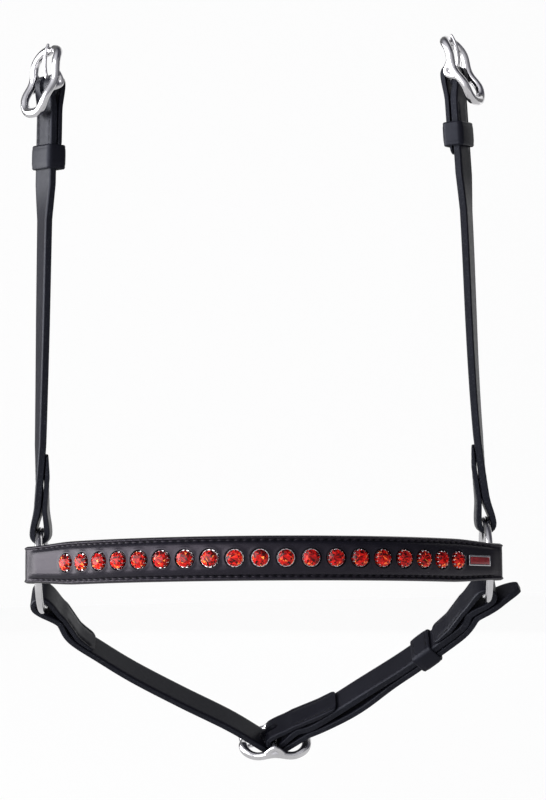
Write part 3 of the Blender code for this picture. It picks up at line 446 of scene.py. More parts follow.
def apply_all(thing):
    """Applies the object's modifiers from the top down."""
    only(thing)
    for modifier in list(thing.modifiers):
        bpy.ops.object.modifier_apply(modifier=modifier.name)


def settle(thing, place=None):
    """Moves an object's place into its mesh."""
    if place is not None:
        thing.matrix_world = place @ thing.matrix_world
    only(thing)
    bpy.ops.object.transform_apply(location=True, rotation=True, scale=True)
    return thing


def smooth(thing, angle=SHARP_ANGLE):
    only(thing)
    bpy.ops.object.shade_smooth_by_angle(angle=angle)


def merge(things, name):
    """Joins objects into the first one."""
    only(things[0])
    for thing in things[1:]:
        thing.select_set(True)
    bpy.ops.object.join()
    return take_new(name)


def new_piece(add, name, **settings):
    """Adds a primitive, with nothing else selected."""
    bpy.ops.object.select_all(action="DESELECT")
    add(**settings)
    return take_new(name)


def new_object(name, data):
    thing = bpy.data.objects.new(name, data)
    bpy.context.scene.collection.objects.link(thing)
    return thing


def add_modifier(thing, name, kind, **settings):
    modifier = thing.modifiers.new(name, kind)
    for label, value in settings.items():
        setattr(modifier, label, value)
    return modifier


def copy_of(thing, name):
    """A copy with a mesh of its own."""
    data = thing.data.copy()
    data.name = name
    return new_object(name, data)


def remove(thing):
    data = thing.data
    store = bpy.data.meshes if thing.type == "MESH" else bpy.data.curves
    bpy.data.objects.remove(thing)
    store.remove(data)


def solve_normals(thing):
    only(thing)
    bpy.ops.object.mode_set(mode="EDIT")
    bpy.ops.mesh.select_all(action="SELECT")
    bpy.ops.mesh.remove_doubles(threshold=MERGE)
    bpy.ops.mesh.normals_make_consistent(inside=False)
    bpy.ops.object.mode_set(mode="OBJECT")


def finish_piece(thing, kind, body, node=None, *others):
    """Gives a piece its material, its body and the nodes that it stands for."""
    thing.data.materials.clear()
    thing.data.materials.append(material_of(kind))
    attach(thing, body)
    if node:
        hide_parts(*others, node)


def smooth_line(points, step):
    """Catmull-Rom line through 2D points, about one step between its own points."""
    ghosts = [points[0] * 2 - points[1]] + list(points) + [points[-1] * 2 - points[-2]]
    line = [points[0].copy()]
    for index in range(1, len(ghosts) - 2):
        before, start, end, after = ghosts[index - 1:index + 3]
        count = max(1, round((end - start).length / step))
        for turn in range(1, count + 1):
            t = turn / count
            line.append(0.5 * (2 * start + (end - before) * t
                               + (2 * before - 5 * start + 4 * end - after) * t ** 2
                               + (3 * start - before - 3 * end + after) * t ** 3))
    return line


def flexed(start, start_way, end, end_way, steps):
    """Places between two ends, along a curve that leaves and meets them their way."""
    span = (end - start).length
    places = []
    for index in range(1, steps):
        t = index / steps
        places.append(start * (2 * t ** 3 - 3 * t ** 2 + 1) + start_way * span * (t ** 3 - 2 * t ** 2 + t)
                      + end * (3 * t ** 2 - 2 * t ** 3) + end_way * span * (t ** 3 - t ** 2))
    return places


def normals_of(line):
    """Unit normals of a 2D line, to the left of its way."""
    normals = []
    for index in range(len(line)):
        ahead = line[min(index + 1, len(line) - 1)] - line[max(index - 1, 0)]
        normals.append(Vector((-ahead.y, ahead.x)).normalized())
    return normals


def fold(eye, away, inner, radius, turn, main_side, turn_side, throat):
    """Centre line of a folded end as (place, run past the loop), main strand below zero."""
    def strand(near, far, way):
        shares = [index / FOLD_STEPS for index in range(1, FOLD_STEPS + 1)]
        return [(eye + inner * (near + (far - near) * ease(share)) + away * throat * share,
                 way * throat * share) for share in shares]

    line = strand(-radius, main_side, -1)[::-1]
    for index in range(LOOP_STEPS + 1):
        angle = math.pi * index / LOOP_STEPS
        spoke = -inner * math.cos(angle) - away * math.sin(angle)
        line.append((eye + spoke * radius, 0))
    line += strand(radius, turn_side, 1)
    for index in range(TIP_STEPS + 1):
        run = turn - TIP_RUN * (1 - index / TIP_STEPS)
        line.append((eye + inner * turn_side + away * run, run))
    return line


def strap_fold(eye, away, inner, radius, turn, main=STRAP_THICK):
    """A strap's fold as (place, thickness) points, skived on the outside towards its tip."""
    line = []
    main_side = -(TURN_THICK + CLEAR) / 2
    turn_side = (main + CLEAR) / 2
    for place, run in fold(eye, away, inner, radius, turn, main_side, turn_side, FOLD_THROAT):
        past = TURN_THICK if run > 0 else main
        thick = FOLD_THICK + (past - FOLD_THICK) * ease(abs(run) / FOLD_THROAT)
        skived = (TURN_THICK - TIP_THICK) * max(0, (run - turn + TIP_RUN) / TIP_RUN)
        line.append((place - inner * skived / 2, thick - skived))
    return line


def press_tip(track):
    """Presses a turned-back tip, at the track's end, against its main strand."""
    main = track[:-2 * FOLD_STEPS - LOOP_STEPS - TIP_STEPS - 2]
    tip = []
    for place, thick in track[-TIP_STEPS - 1:]:
        near, wall = min(main, key=lambda spot: (spot[0] - place).length)
        apart = place - near
        gap = apart.length - (wall + thick) / 2 - CLEAR
        tip.append((place - apart.normalized() * max(0, gap), thick))
    return track[:-TIP_STEPS - 1] + tip


def lengths_of(line):
    runs = [0]
    for before, after in zip(line, line[1:]):
        runs.append(runs[-1] + (after - before).length)
    return runs


def read_off(table, at):
    """Value at a place in a rising table of (place, value)."""
    for (before, low), (after, high) in zip(table, table[1:]):
        if at <= after:
            return low + (high - low) * max(0, (at - before) / max(MERGE, after - before))
    return table[-1][1]


def pucker(phase, mean):
    """Share of a dip along a row of stitches, deepest halfway through each."""
    return mean - (1 - mean) * math.cos(2 * math.pi * phase)


def curve_through(name, places, dimensions, radii):
    """A curve that runs straight from place to place."""
    data = bpy.data.curves.new(name, "CURVE")
    data.dimensions = dimensions
    spline = data.splines.new("POLY")
    spline.points.add(len(places) - 1)
    for point, place, radius in zip(spline.points, places, radii):
        point.co = (*place, 1)
        point.radius = radius
    return new_object(name, data)


def bend_along(things, line):
    """Bends flat pieces along a 2D line, and leaves them lying in the line's plane."""
    guide = curve_through("strap_line", [(*place, 0) for place in line], "2D", [1] * len(line))
    for thing in things:
        add_modifier(thing, "bend", "CURVE", object=guide, deform_axis="POS_X")
        apply_all(thing)
    remove(guide)


def soften_rim(thing):
    """Rounds the edges of a piece of leather."""
    add_modifier(thing, "rim", "BEVEL", width=chosen("leather").rim, segments=3,
                 limit_method="ANGLE", angle_limit=RIM_ANGLE)


def lay_strap(name, runs, half_widths, shares, wall, offset=0.0):
    """A strap lying flat, with its wall made by Solidify from a grid of its thickness."""
    thing = new_piece(bpy.ops.mesh.primitive_grid_add, name, x_subdivisions=len(runs) - 1,
                      y_subdivisions=len(shares) - 1, size=1)
    walls = [[wall(i, j) for i in range(len(runs))] for j in range(len(shares))]
    most = max(max(row) for row in walls)
    group = thing.vertex_groups.new(name="wall")
    for j, share in enumerate(shares):
        for i, run in enumerate(runs):
            vert = thing.data.vertices[j * len(runs) + i]
            vert.co = (run, 0, half_widths[i] * share)
            group.add([vert.index], walls[j][i] / most, "REPLACE")
    add_modifier(thing, "wall", "SOLIDIFY", thickness=most, offset=offset, vertex_group="wall")
    soften_rim(thing)
    apply_all(thing)
    solve_normals(thing)
    return thing


def mark_cut_edges(thing):
    """Keeps on each corner how far its face looks across the strap, for the cut leather."""
    cut = thing.data.attributes.new("cut", "FLOAT", "POINT")
    total = [0.0] * len(thing.data.vertices)
    count = [0] * len(thing.data.vertices)
    for face in thing.data.polygons:
        for index in face.vertices:
            total[index] += abs(face.normal.z)
            count[index] += 1
    cut.data.foreach_set("value", [a / max(1, b) for a, b in zip(total, count)])


def punch(thing, cutters):
    """Cuts holes in a flat strap and removes the punches."""
    cutter = merge(cutters, "punches")
    add_modifier(thing, "hole", "BOOLEAN", operation="DIFFERENCE", object=cutter, solver="EXACT")
    apply_all(thing)
    remove(cutter)


def slot_punch(start, end, width):
    """A long punch with round ends, through a flat strap."""
    thing = new_piece(bpy.ops.mesh.primitive_cube_add, "slot_punch", size=1,
                      location=((start + end) / 2, 0, 0))
    thing.scale = (end - start, 2 * OVERRUN + STRAP_THICK, width)
    settle(thing)
    add_modifier(thing, "ends", "BEVEL", width=width / 2 - MERGE, segments=5, affect="EDGES",
                 limit_method="WEIGHT")
    weights = thing.data.attributes.new("bevel_weight_edge", "FLOAT", "EDGE")
    for edge in thing.data.edges:
        way = thing.data.vertices[edge.vertices[0]].co - thing.data.vertices[edge.vertices[1]].co
        weights.data[edge.index].value = 1 if abs(way.y) > max(abs(way.x), abs(way.z)) else 0
    apply_all(thing)
    return thing


def round_punch(run, radius, depth=STRAP_THICK + 2 * OVERRUN, height=0.0):
    """A round punch, standing in the strap's wall."""
    return settle(new_piece(bpy.ops.mesh.primitive_cylinder_add, "round_punch", vertices=32, radius=radius,
                            depth=depth, location=(run, height, 0), rotation=(math.pi / 2, 0, 0)))


def stitch_count(start, end):
    return max(1, int(abs(end - start) / chosen("stitching").pitch + COUNT_SLACK))


def stitch_row(start, end, height, across, side):
    """A row of slanted stitches, lying flat on a strap's face."""
    settings = chosen("stitching")
    count = stitch_count(start, end)
    pitch = (end - start) / count
    thing = new_piece(bpy.ops.mesh.primitive_uv_sphere_add, "stitch", segments=8, ring_count=6,
                      radius=settings.thread)
    thing.rotation_euler = (0, math.pi / 2, 0)
    settle(thing)
    stretch = abs(pitch) * STITCH_SHARE - settings.thread
    for vert in thing.data.vertices:
        vert.co.x += math.copysign(stretch, vert.co.x) if abs(vert.co.x) > MERGE else 0
    thing.rotation_euler = (0, settings.slant * side, 0)
    thing.location = (start + pitch / 2, height, across)
    settle(thing)
    add_modifier(thing, "row", "ARRAY", count=count, use_relative_offset=False, use_constant_offset=True,
                 constant_offset_displace=(pitch, 0, 0))
    apply_all(thing)
    return thing


def groove(runs_sewn, run):
    """Share of a sewn row's dip at a run."""
    for start, end in runs_sewn:
        if start <= run <= end:
            return pucker((run - start) / (end - start) * stitch_count(start, end), SEW_PUCKER)
    return 0


def tip_share(run, whole):
    """Share of a strap's width at a run, with the corners of both its ends rounded off."""
    past = max(0, 1 - min(run, whole - run) / TIP_CORNER)
    return 1 - 2 * TIP_CORNER / STRAP_WIDTH * (1 - math.sqrt(1 - past ** 2))


def sewn_strap(name, track, sewn, face, widths=tip_share, punches=()):
    """A flat strap with its rows of stitches, bent along its track.

    sewn holds the (start, end) runs of its rows, and face the side of the wall, 1 or
    -1 in the flat strap's Y, that the thread shows on.
    """
    line = [place for place, _ in track]
    lengths = lengths_of(line)
    whole = lengths[-1]
    table = list(zip(lengths, [wall for _, wall in track]))
    corner = [TIP_CORNER * (1 - math.cos(index / TIP_STEPS * math.pi / 2)) for index in range(TIP_STEPS)]
    count = round((whole - 2 * TIP_CORNER) / ROW_STEP)
    step = (whole - 2 * TIP_CORNER) / count
    runs = corner + [TIP_CORNER + step * index for index in range(count + 1)]
    runs += [whole - run for run in corner[::-1]]
    walls = [read_off(table, run) for run in runs]
    dips = [SEW_DIP * groove(sewn, run) for run in runs]

    def wall(i, j):
        dip = dips[i] if j in SEWN_COLUMNS else 0
        return walls[i] * STRAP_CROWN_SHARES[j] - dip

    halves = [STRAP_WIDTH / 2 * widths(run, whole) for run in runs]
    thing = lay_strap(name, runs, halves, STRAP_SHARES, wall)
    punch(thing, punches)
    mark_cut_edges(thing)
    rows = []
    for start, end in sewn:
        for column, side in zip(SEWN_COLUMNS, (1, -1)):
            rows.append(stitch_row(start, end, 0, STRAP_WIDTH / 2 * STRAP_SHARES[column], side))
    stitches = merge(rows, name + "_stitches")
    for vert in stitches.data.vertices:
        vert.co.y += face * (read_off(table, vert.co.x) / 2 - THREAD_SINK)
    bend_along([thing, stitches], line)
    return thing, stitches


def lie_upright(thing, place):
    """Stands a piece that was bent in its own X-Y plane up in the X-Z plane of a place."""
    return settle(thing, place @ turned(math.pi / 2, "X"))


def wire_bow(half_width):
    """How far a ring's wire falls back from its tangent within a strap's width."""
    return RING_RADIUS - math.sqrt(RING_RADIUS ** 2 - half_width ** 2)


def cheek_run():
    return math.hypot(RING_DROP - RING_RADIUS, RING_SPREAD - BAR_SPREAD)


def cheek_place(side):
    lean = math.atan2(RING_SPREAD - BAR_SPREAD, RING_DROP - RING_RADIUS)
    return shifted(side * BAR_SPREAD, 0, 0) @ turned(-side * lean, "Y")


def bar_fold_radius():
    return BAR_RADIUS + CLEAR + FOLD_THICK / 2


def ring_fold_radius():
    return RING_WIRE + CLEAR + FOLD_THICK / 2


def twisted_place(side):
    """Place of a cheekpiece's buckle end, turned by its twist."""
    return cheek_place(side) @ turned(-side * TWISTS[side], "Z")


def fold_rows(turn, radius, whole=0):
    """Runs of the stitches on both strands of a fold, at a strap's start or else at its end."""
    main = turn + math.pi * radius
    rows = [(TURN_TIP_GAP, turn - FOLD_THROAT), (main + FOLD_THROAT, main + turn - TURN_TIP_GAP)]
    return [(whole - end, whole - start) for start, end in rows] if whole else rows


def main_across():
    return (TURN_THICK + CLEAR) / 2


def twist_share(height):
    """Share of a cheekpiece's twist at a height under its buckle's bar."""
    free = cheek_run() - TWIST_END_GAP - TWIST_START
    drops = [TWIST_START + free * share for share in TWIST_RUN_SHARES]
    return read_off(list(zip(drops, TWIST_SHARES)), -height)


def cheek_track(side):
    """A cheekpiece's line and wall, from its end at the buckle to its end at the ring."""
    down = Vector((0, -1))
    out = Vector((side, 0))
    lean = RING_LEANS[side]
    up = Vector((-side * math.sin(lean), math.cos(lean)))
    inner = Vector((-side * math.cos(lean), -math.sin(lean)))
    ring_eye = Vector((0, -cheek_run() - wire_bow(STRAP_WIDTH / 2) - CLEAR))
    top = strap_fold(Vector((0, 0)), down, -out, bar_fold_radius(), TOP_TURN)
    low = strap_fold(ring_eye, up, inner, ring_fold_radius(), RING_TURN)
    start = out * main_across() + down * TWIST_START
    middle = [start] + flexed(start, down, low[0][0], -up, CHEEK_STEPS)
    return press_tip(top[::-1] + [(place, STRAP_THICK) for place in middle] + low)


def bar_slot(turn):
    """Punch for the tongue's slot round the fold at a buckle's bar."""
    end = turn + math.pi * bar_fold_radius() + SLOT_DEPTH
    return [slot_punch(turn - SLOT_DEPTH, end, SLOT_WIDTH)]


def build_cheek_strap(word, side):
    """One cheekpiece, folded round the buckle's bar and round the ring, and twisted."""
    track = cheek_track(side)
    whole = lengths_of([place for place, _ in track])[-1]
    sewn = fold_rows(TOP_TURN, bar_fold_radius()) + fold_rows(RING_TURN, ring_fold_radius(), whole)
    strap, stitches = sewn_strap(word + "_cheekpiece", track, sewn, side, punches=bar_slot(TOP_TURN))
    for thing in (strap, stitches):
        lie_upright(thing, Matrix.Identity(4))
        for vert in thing.data.vertices:
            turn = Matrix.Rotation(-side * TWISTS[side] * twist_share(vert.co.z), 3, "Z")
            vert.co = turn @ vert.co
        settle(thing, cheek_place(side))
        smooth(thing)
    finish_piece(strap, "strap leather", "cheekpieces", word + "_cheek_strap")
    finish_piece(stitches, "waxed thread", "cheekpieces")


def keeper_outline(half_x, half_y, corner, steps=6):
    """Rounded rectangle that a keeper's leather follows, as 2D places."""
    places = []
    for quarter in range(4):
        centre = Vector(((half_x - corner) * (1 if quarter in (0, 3) else -1),
                         (half_y - corner) * (1 if quarter in (0, 1) else -1)))
        for step in range(steps + 1):
            places.append(centre + unit((quarter + step / steps) * math.pi / 2) * corner)
    return places


def build_keeper(name, depth, place, rows, body, node):
    """A sewn leather loop: a ring of leather, drawn up to its height and swollen outwards."""
    half = STRAP_WIDTH / 2 + KEEPER_SIDE_GAP
    inside = keeper_outline(depth / 2, half, KEEPER_CORNER)
    thing = new_piece(bpy.ops.mesh.primitive_circle_add, name, vertices=len(inside), radius=half)
    for vert, spot in zip(thing.data.vertices, inside):
        vert.co = (spot.x, spot.y, -KEEPER_HEIGHT / 2)
    only(thing)
    bpy.ops.object.mode_set(mode="EDIT")
    bpy.ops.mesh.select_all(action="SELECT")
    for _ in range(KEEPER_ROWS):
        lift = KEEPER_HEIGHT / KEEPER_ROWS
        bpy.ops.mesh.extrude_region_move(TRANSFORM_OT_translate={"value": (0, 0, lift)})
    bpy.ops.mesh.select_all(action="SELECT")
    bpy.ops.mesh.normals_make_consistent(inside=False)
    bpy.ops.object.mode_set(mode="OBJECT")
    group = thing.vertex_groups.new(name="wall")
    for vert in thing.data.vertices:
        share = abs(vert.co.z) / (KEEPER_HEIGHT / 2)
        group.add([vert.index], read_off(KEEPER_WALL_SHARES, share), "REPLACE")
    add_modifier(thing, "wall", "SOLIDIFY", thickness=KEEPER_WALL, offset=1, use_even_offset=True,
                 vertex_group="wall")
    soften_rim(thing)
    apply_all(thing)
    solve_normals(thing)
    cut = thing.data.attributes.new("cut", "FLOAT", "POINT")
    cut.data.foreach_set("value", [float(abs(vert.normal.z) > CUT_FACING) for vert in thing.data.vertices])
    settle(thing, place)
    smooth(thing)
    finish_piece(thing, "strap leather", body, node)
    sewn = []
    for height in rows:
        across = half - 2 * KEEPER_CORNER
        seat = shifted(-depth / 2 - KEEPER_WALL + THREAD_SINK, 0, height) @ turned(math.pi / 2, "Z")
        sewn.append(settle(stitch_row(-across, across, 0, 0, 1), place @ seat))
    if sewn:
        finish_piece(merge(sewn, name + "_stitches"), "waxed thread", body)


def cheek_keeper_place(side):
    outer = main_across() + STRAP_THICK / 2
    inner = main_across() - STRAP_THICK / 2 - CLEAR - TURN_THICK
    return twisted_place(side) @ shifted(side * (outer + inner) / 2, 0, -KEEPER_DROPS[side])


def build_ring(word, side):
    """A round ring, polished smooth."""
    node = word + "_ring"
    thing = settle(new_piece(bpy.ops.mesh.primitive_torus_add, word + "_bright_ring", major_segments=96,
                             minor_segments=24, major_radius=RING_RADIUS, minor_radius=RING_WIRE,
                             rotation=(0, math.pi / 2, 0), location=(side * RING_SPREAD, 0, -RING_DROP)))
    bpy.ops.object.shade_smooth()
    finish_piece(thing, "cast metal", node, node)


def frame_wave(z):
    """How far the buckle's rails stand out at a height along the frame."""
    turn = abs(z) / (CREST_SHARE * BUCKLE_HALF_LENGTH)
    return BUCKLE_SET + BUCKLE_WAVE * (1 - math.cos(math.pi * turn)) / 2


def power(value):
    return math.copysign(abs(value) ** CORNER_POWER, value)


def wire(name, places, radii, closed=False):
    """A round wire through the places, as a closed mesh."""
    thing = curve_through(name, places, "3D", radii)
    thing.data.bevel_depth = 1
    thing.data.bevel_resolution = 6
    thing.data.use_fill_caps = not closed
    thing.data.splines[0].use_cyclic_u = closed
    only(thing)
    bpy.ops.object.convert(target="MESH")
    solve_normals(thing)
    return thing


def cast(pieces, name, cell, softness):
    """Merges overlapping shapes into one skin with softened joints, as in a casting."""
    thing = merge(pieces, name)
    add_modifier(thing, "skin", "REMESH", mode="VOXEL", voxel_size=cell)
    add_modifier(thing, "softened", "SMOOTH", iterations=softness, factor=0.5)
    apply_all(thing)
    bpy.ops.object.shade_smooth()
    return thing


def build_frame(word, side, place):
    """A cast buckle: the outer frame, the humps that carry its bar, and the bar."""
    name = word + "_cast_buckle"
    places = []
    radii = []
    for index in range(FRAME_POINTS):
        angle = 2 * math.pi * index / FRAME_POINTS
        y = BUCKLE_HALF_WIDTH * power(math.cos(angle))
        z = BUCKLE_HALF_LENGTH * power(math.sin(angle))
        swell = 1 + (END_SWELL_SHARE - 1) * ease(2 * abs(math.sin(angle)) - 1)
        if z > 0:
            swell -= (END_SWELL_SHARE - NOTCH_SHARE) * (1 - ease(abs(y) / NOTCH_REACH))
        places.append((side * frame_wave(z), y, z))
        radii.append(BUCKLE_WIRE * swell)
    pieces = [wire(name, places, radii, closed=True)]
    for y in (-BUCKLE_HALF_WIDTH, BUCKLE_HALF_WIDTH):
        hump = []
        for index in range(HUMP_POINTS + 1):
            share = 2 * index / HUMP_POINTS - 1
            rise = frame_wave(HUMP_REACH) * (1 - ease(1 - abs(share)))
            hump.append((side * rise, y, HUMP_REACH * share))
        pieces.append(wire(name + "_hump", hump, [HUMP_WIRE] * len(hump)))
    bar = [(0, BUCKLE_HALF_WIDTH * share, 0) for share in (-1, 1)]
    pieces.append(wire(name + "_bar", bar, [BAR_RADIUS] * 2))
    thing = settle(cast(pieces, name, chosen("metal").grain, FRAME_SOFTNESS), place)
    finish_piece(thing, "cast metal", word + "_buckle", word + "_buckle_frame")


def build_tongue(word, side, place):
    """A buckle's tongue: a wire with an eye round the bar and a blunt, dipped tip."""
    name = word + "_cast_tongue"
    rest = frame_wave(BUCKLE_HALF_LENGTH) + BUCKLE_WIRE * NOTCH_SHARE + CLEAR + TONGUE_WIRE
    eye = (TONGUE_EYE + BAR_RADIUS) / 2
    line = [Vector((eye * TONGUE_ROOT_SHARES[0], eye * TONGUE_ROOT_SHARES[1]))]
    line += [Vector((rest * rise, BUCKLE_HALF_LENGTH * along)) for rise, along in TONGUE_LINE_SHARES]
    line.append(Vector((rest * TONGUE_DIP_SHARE, BUCKLE_HALF_LENGTH + TONGUE_OVERHANG - TONGUE_WIRE / 2)))
    line = smooth_line(line, TONGUE_STEP)
    places = [(side * spot.x, 0, spot.y) for spot in line]
    count = len(line) - 1
    radii = [TONGUE_WIRE * (1 - (1 - TONGUE_TIP_SHARE) * ease(2 * index / count - 1))
             for index in range(count + 1)]
    stem = wire(name, places, radii)
    tip = settle(new_piece(bpy.ops.mesh.primitive_uv_sphere_add, name + "_tip", segments=16, ring_count=10,
                           radius=radii[-1], location=places[-1]))
    middle = (TONGUE_EYE + BAR_RADIUS + CLEAR) / 2
    thin = TONGUE_EYE - middle
    eye_ring = settle(new_piece(bpy.ops.mesh.primitive_torus_add, name + "_eye", major_segments=48,
                                minor_segments=16, major_radius=middle, minor_radius=thin,
                                rotation=(math.pi / 2, 0, 0)))
    eye_ring.scale.y = TONGUE_EYE_WIDTH / (2 * thin)
    settle(eye_ring)
    thing = settle(cast([stem, tip, eye_ring], name, TONGUE_CELL, TONGUE_SOFTNESS), place)
    finish_piece(thing, "cast metal", word + "_tongue", word + "_buckle_tongue")


def buckle_place(side):
    return twisted_place(side) @ turned(-side * BUCKLE_TILTS[side], "Y")


def chin_place():
    return shifted(0, 0, -RING_DROP) @ turned(CHIN_TILT, "X")


def chin_buckle_place():
    return chin_place() @ shifted(CHIN_SHIFT, 0, -CHIN_DROP) @ axes(Vector((0, 0, -1)), Vector((-1, 0, 0)))


def band_radius():
    """Radius of the band's arc, a little under the circle through the nose and both rings."""
    ahead = BAND_REACH - RING_RADIUS
    return (RING_SPREAD ** 2 + ahead ** 2) / (2 * ahead) - BAND_TIGHTENING


def band_turn():
    """Angle at which the band's arc runs into its straight ends."""
    drop = BAND_LOOP_IN - BAND_LOOP_RADIUS
    back = RING_RADIUS + band_radius() - BAND_REACH
    span = math.hypot(RING_SPREAD, back)
    return math.asin((band_radius() + drop) / span) - math.atan2(back, RING_SPREAD)


def band_arc():
    return band_radius() * band_turn()


def band_spot(run):
    """Place, way and outward normal on the band's base line, by run from its middle."""
    angle = max(-band_turn(), min(band_turn(), run / band_radius()))
    way = unit(angle)
    out = Vector((math.sin(angle), -math.cos(angle)))
    spot = Vector((0, band_radius() - BAND_REACH)) + out * band_radius()
    if abs(run) > band_arc():
        spot = spot + way * (run - math.copysign(band_arc(), run))
    return spot, way, out


def band_eye():
    """Middle of the band's fold on the right, with the way and normal of its straight end."""
    way = unit(band_turn())
    out = Vector((math.sin(band_turn()), -math.cos(band_turn())))
    wire_spot = Vector((RING_SPREAD, -RING_RADIUS))
    return wire_spot + way * BAND_LOOP_BACK - out * BAND_LOOP_IN, way, out


def band_straight_end():
    """Run from the band's middle to where its fold starts."""
    eye, way, out = band_eye()
    corner = band_spot(band_arc())[0]
    return band_arc() + (eye + out * BAND_LOOP_RADIUS - corner).dot(way)


def band_fold(side):
    """The fold of the band's face round the front of a ring, on its inner side."""
    eye, way, out = band_eye()
    turn_side = CLEAR - BAND_LOOP_RADIUS
    line = fold(eye, -way, -out, BAND_LOOP_RADIUS, BAND_TURN, -BAND_LOOP_RADIUS, turn_side, BAND_THROAT)
    return [Vector((side * place.x, place.y)) for place, run in line if run >= 0]


def band_place():
    """Stands what was bent in the band's plane, with its Y to the front, up in its place."""
    return shifted(0, 0, -RING_DROP) @ turned(-BAND_TILT, "X") @ turned(BAND_LEVEL, "Y")


def stand_on_band(thing, line):
    """Bends a flat piece along the band's line and stands it up in its place."""
    bend_along([thing], line)
    return settle(thing, band_place() @ turned(math.pi, "X"))


def on_band(run, height):
    """Matrix of a place on the band, with its Z pointing out and its X along the band."""
    spot, way, out = band_spot(run)
    place = spot + out * height
    return band_place() @ shifted(place.x, place.y, 0) @ axes(Vector((*way, 0)), Vector((*out, 0)))


def recess_radius():
    return CRYSTAL_RADIUS + CLEAR + SETTING_WALL + RECESS_MARGIN


def channel_end():
    return band_straight_end() - CHANNEL_END_GAP


def stone_runs():
    middle = (STONE_COUNT - 1) / 2
    pitch = (channel_end() - recess_radius() - PLATE_GAP - PLATE_LENGTH) / middle
    return [(index - middle) * pitch + STONE_SHIFT for index in range(STONE_COUNT)]


def band_half(run):
    """Half the height of the band's face at a run from its middle."""
    share = (abs(run) - band_straight_end() + FACE_TAPER) / FACE_TAPER
    return (FACE_HEIGHT + (FACE_END_HEIGHT - FACE_HEIGHT) * ease(share)) / 2


def band_line(step):
    """The face's line with its front up, and the run from the band's middle to its start."""
    left = band_fold(-1)[::-1]
    end = band_straight_end()
    count = round(2 * end / step)
    runs = [end * (2 * index / count - 1) for index in range(1, count)]
    line = left + [band_spot(run)[0] for run in runs] + band_fold(1)
    line = [Vector((place.x, -place.y)) for place in line]
    return line, lengths_of([place for place in left])[-1] + end


def face_rise(run, across, end):
    """Thickness of the band's face at a run from its middle and a share of its half height."""
    side = abs(across)
    settings = chosen("stitching")
    channel = 1 - ease((abs(run) - end + CHANNEL_END_GAP) / CHANNEL_FADE)
    rise = CHANNEL_RISE * channel * read_off(CHANNEL_SHARES, side)
    rows_on = 1 - ease((abs(run) - end + ROW_END_GAP) / ROW_FADE)
    depth = ROW_DIP * rows_on * pucker(run / settings.pitch, BAND_PUCKER)
    dip = depth * math.exp(-((side - settings.row_share) / ROW_WIDTH_SHARE) ** 2)
    bead = BEAD_RISE * math.exp(-((side - BEAD_SHARE) / BEAD_WIDTH_SHARE) ** 2)
    edge = EDGE_DROP * max(0, (side - EDGE_SHARE) / (1 - EDGE_SHARE)) ** 2
    return FACE_THICK + rise - dip + bead - edge


def stone_lip(run, up, stones):
    """Height of the leather's swelling round the nearest stone's hole."""
    near = min(stones, key=lambda place: abs(place - run))
    away = math.hypot(run - near, up) - recess_radius()
    return LIP_RISE * math.exp(-(away / LIP_WIDTH) ** 2)


def build_face():
    """The band's face: a raised channel punched for the stones, and a bead along each edge."""
    line, middle = band_line(BAND_STEP)
    whole = lengths_of(line)[-1]
    count = round(whole / FACE_STEP)
    runs = [whole * index / count for index in range(count + 1)]
    halves = [band_half(run - middle) for run in runs]
    shares = [index / FACE_COLUMNS - 1 for index in range(2 * FACE_COLUMNS + 1)]
    stones = stone_runs()
    end = band_straight_end()

    def wall(i, j):
        run = runs[i] - middle
        thick = face_rise(run, shares[j], end) + stone_lip(run, halves[i] * shares[j], stones)
        if abs(run) > end:
            past = min(runs[i], whole - runs[i])
            return thick + (TIP_THICK - FACE_THICK) * max(0, 1 - past / TIP_RUN)
        return thick

    thing = lay_strap("nose_band_leather", runs, halves, shares, wall, offset=-1.0)
    height = FACE_THICK + CHANNEL_RISE - RECESS_DEPTH / 2 + OVERRUN / 2
    punch(thing, [round_punch(run + middle, recess_radius(), RECESS_DEPTH + OVERRUN, height)
                  for run in stones])
    stand_on_band(thing, line)
    smooth(thing, FACE_SHARP)
    finish_piece(thing, "band leather", "nose_band", "nose_band_face")


def build_band_stitches():
    """The two rows of stitches along the band's face."""
    settings = chosen("stitching")
    line, middle = band_line(BAND_STEP)
    reach = int((band_straight_end() - ROW_END_GAP) / settings.pitch) * settings.pitch
    for word, up in (("upper", 1), ("lower", -1)):
        across = -up * settings.row_share * FACE_HEIGHT / 2
        height = FACE_THICK - ROW_DIP + settings.thread * THREAD_PROUD
        row = stitch_row(middle - reach, middle + reach, height, across, up)
        for vert in row.data.vertices:
            vert.co.z += across * (band_half(vert.co.x - middle) / (FACE_HEIGHT / 2) - 1)
        row.name = f"band_{word}_stitches"
        stand_on_band(row, line)
        smooth(row)
        finish_piece(row, "waxed thread", "nose_band", f"band_{word}_thread")


def swell(run):
    """Share of the pad's full width and depth at a run from its middle."""
    past = (abs(run) - band_straight_end() + PAD_END_GAP + PAD_TAPER) / PAD_TAPER
    return math.sqrt(max(0, 1 - max(0, past) ** 2))


def inflate(thing):
    """Fills a flat closed pad with pressure, and caps how far it may swell."""
    add_modifier(thing, "skin", "REMESH", mode="VOXEL", voxel_size=PAD_CELL)
    apply_all(thing)
    rest = [vert.co.copy() for vert in thing.data.vertices]
    cloth = thing.modifiers.new("cloth", "CLOTH").settings
    cloth.quality = 5
    cloth.mass = PAD_MASS
    cloth.use_pressure = True
    cloth.uniform_pressure_force = PAD_PRESSURE
    cloth.effector_weights.gravity = 0
    scene = bpy.context.scene
    for number in range(1, PAD_FRAMES + 1):
        scene.frame_set(number)
    apply_all(thing)
    scene.frame_set(1)
    for vert, start in zip(thing.data.vertices, rest):
        moved = vert.co - start
        if moved.length > PAD_SWELL:
            vert.co = start + moved.normalized() * PAD_SWELL


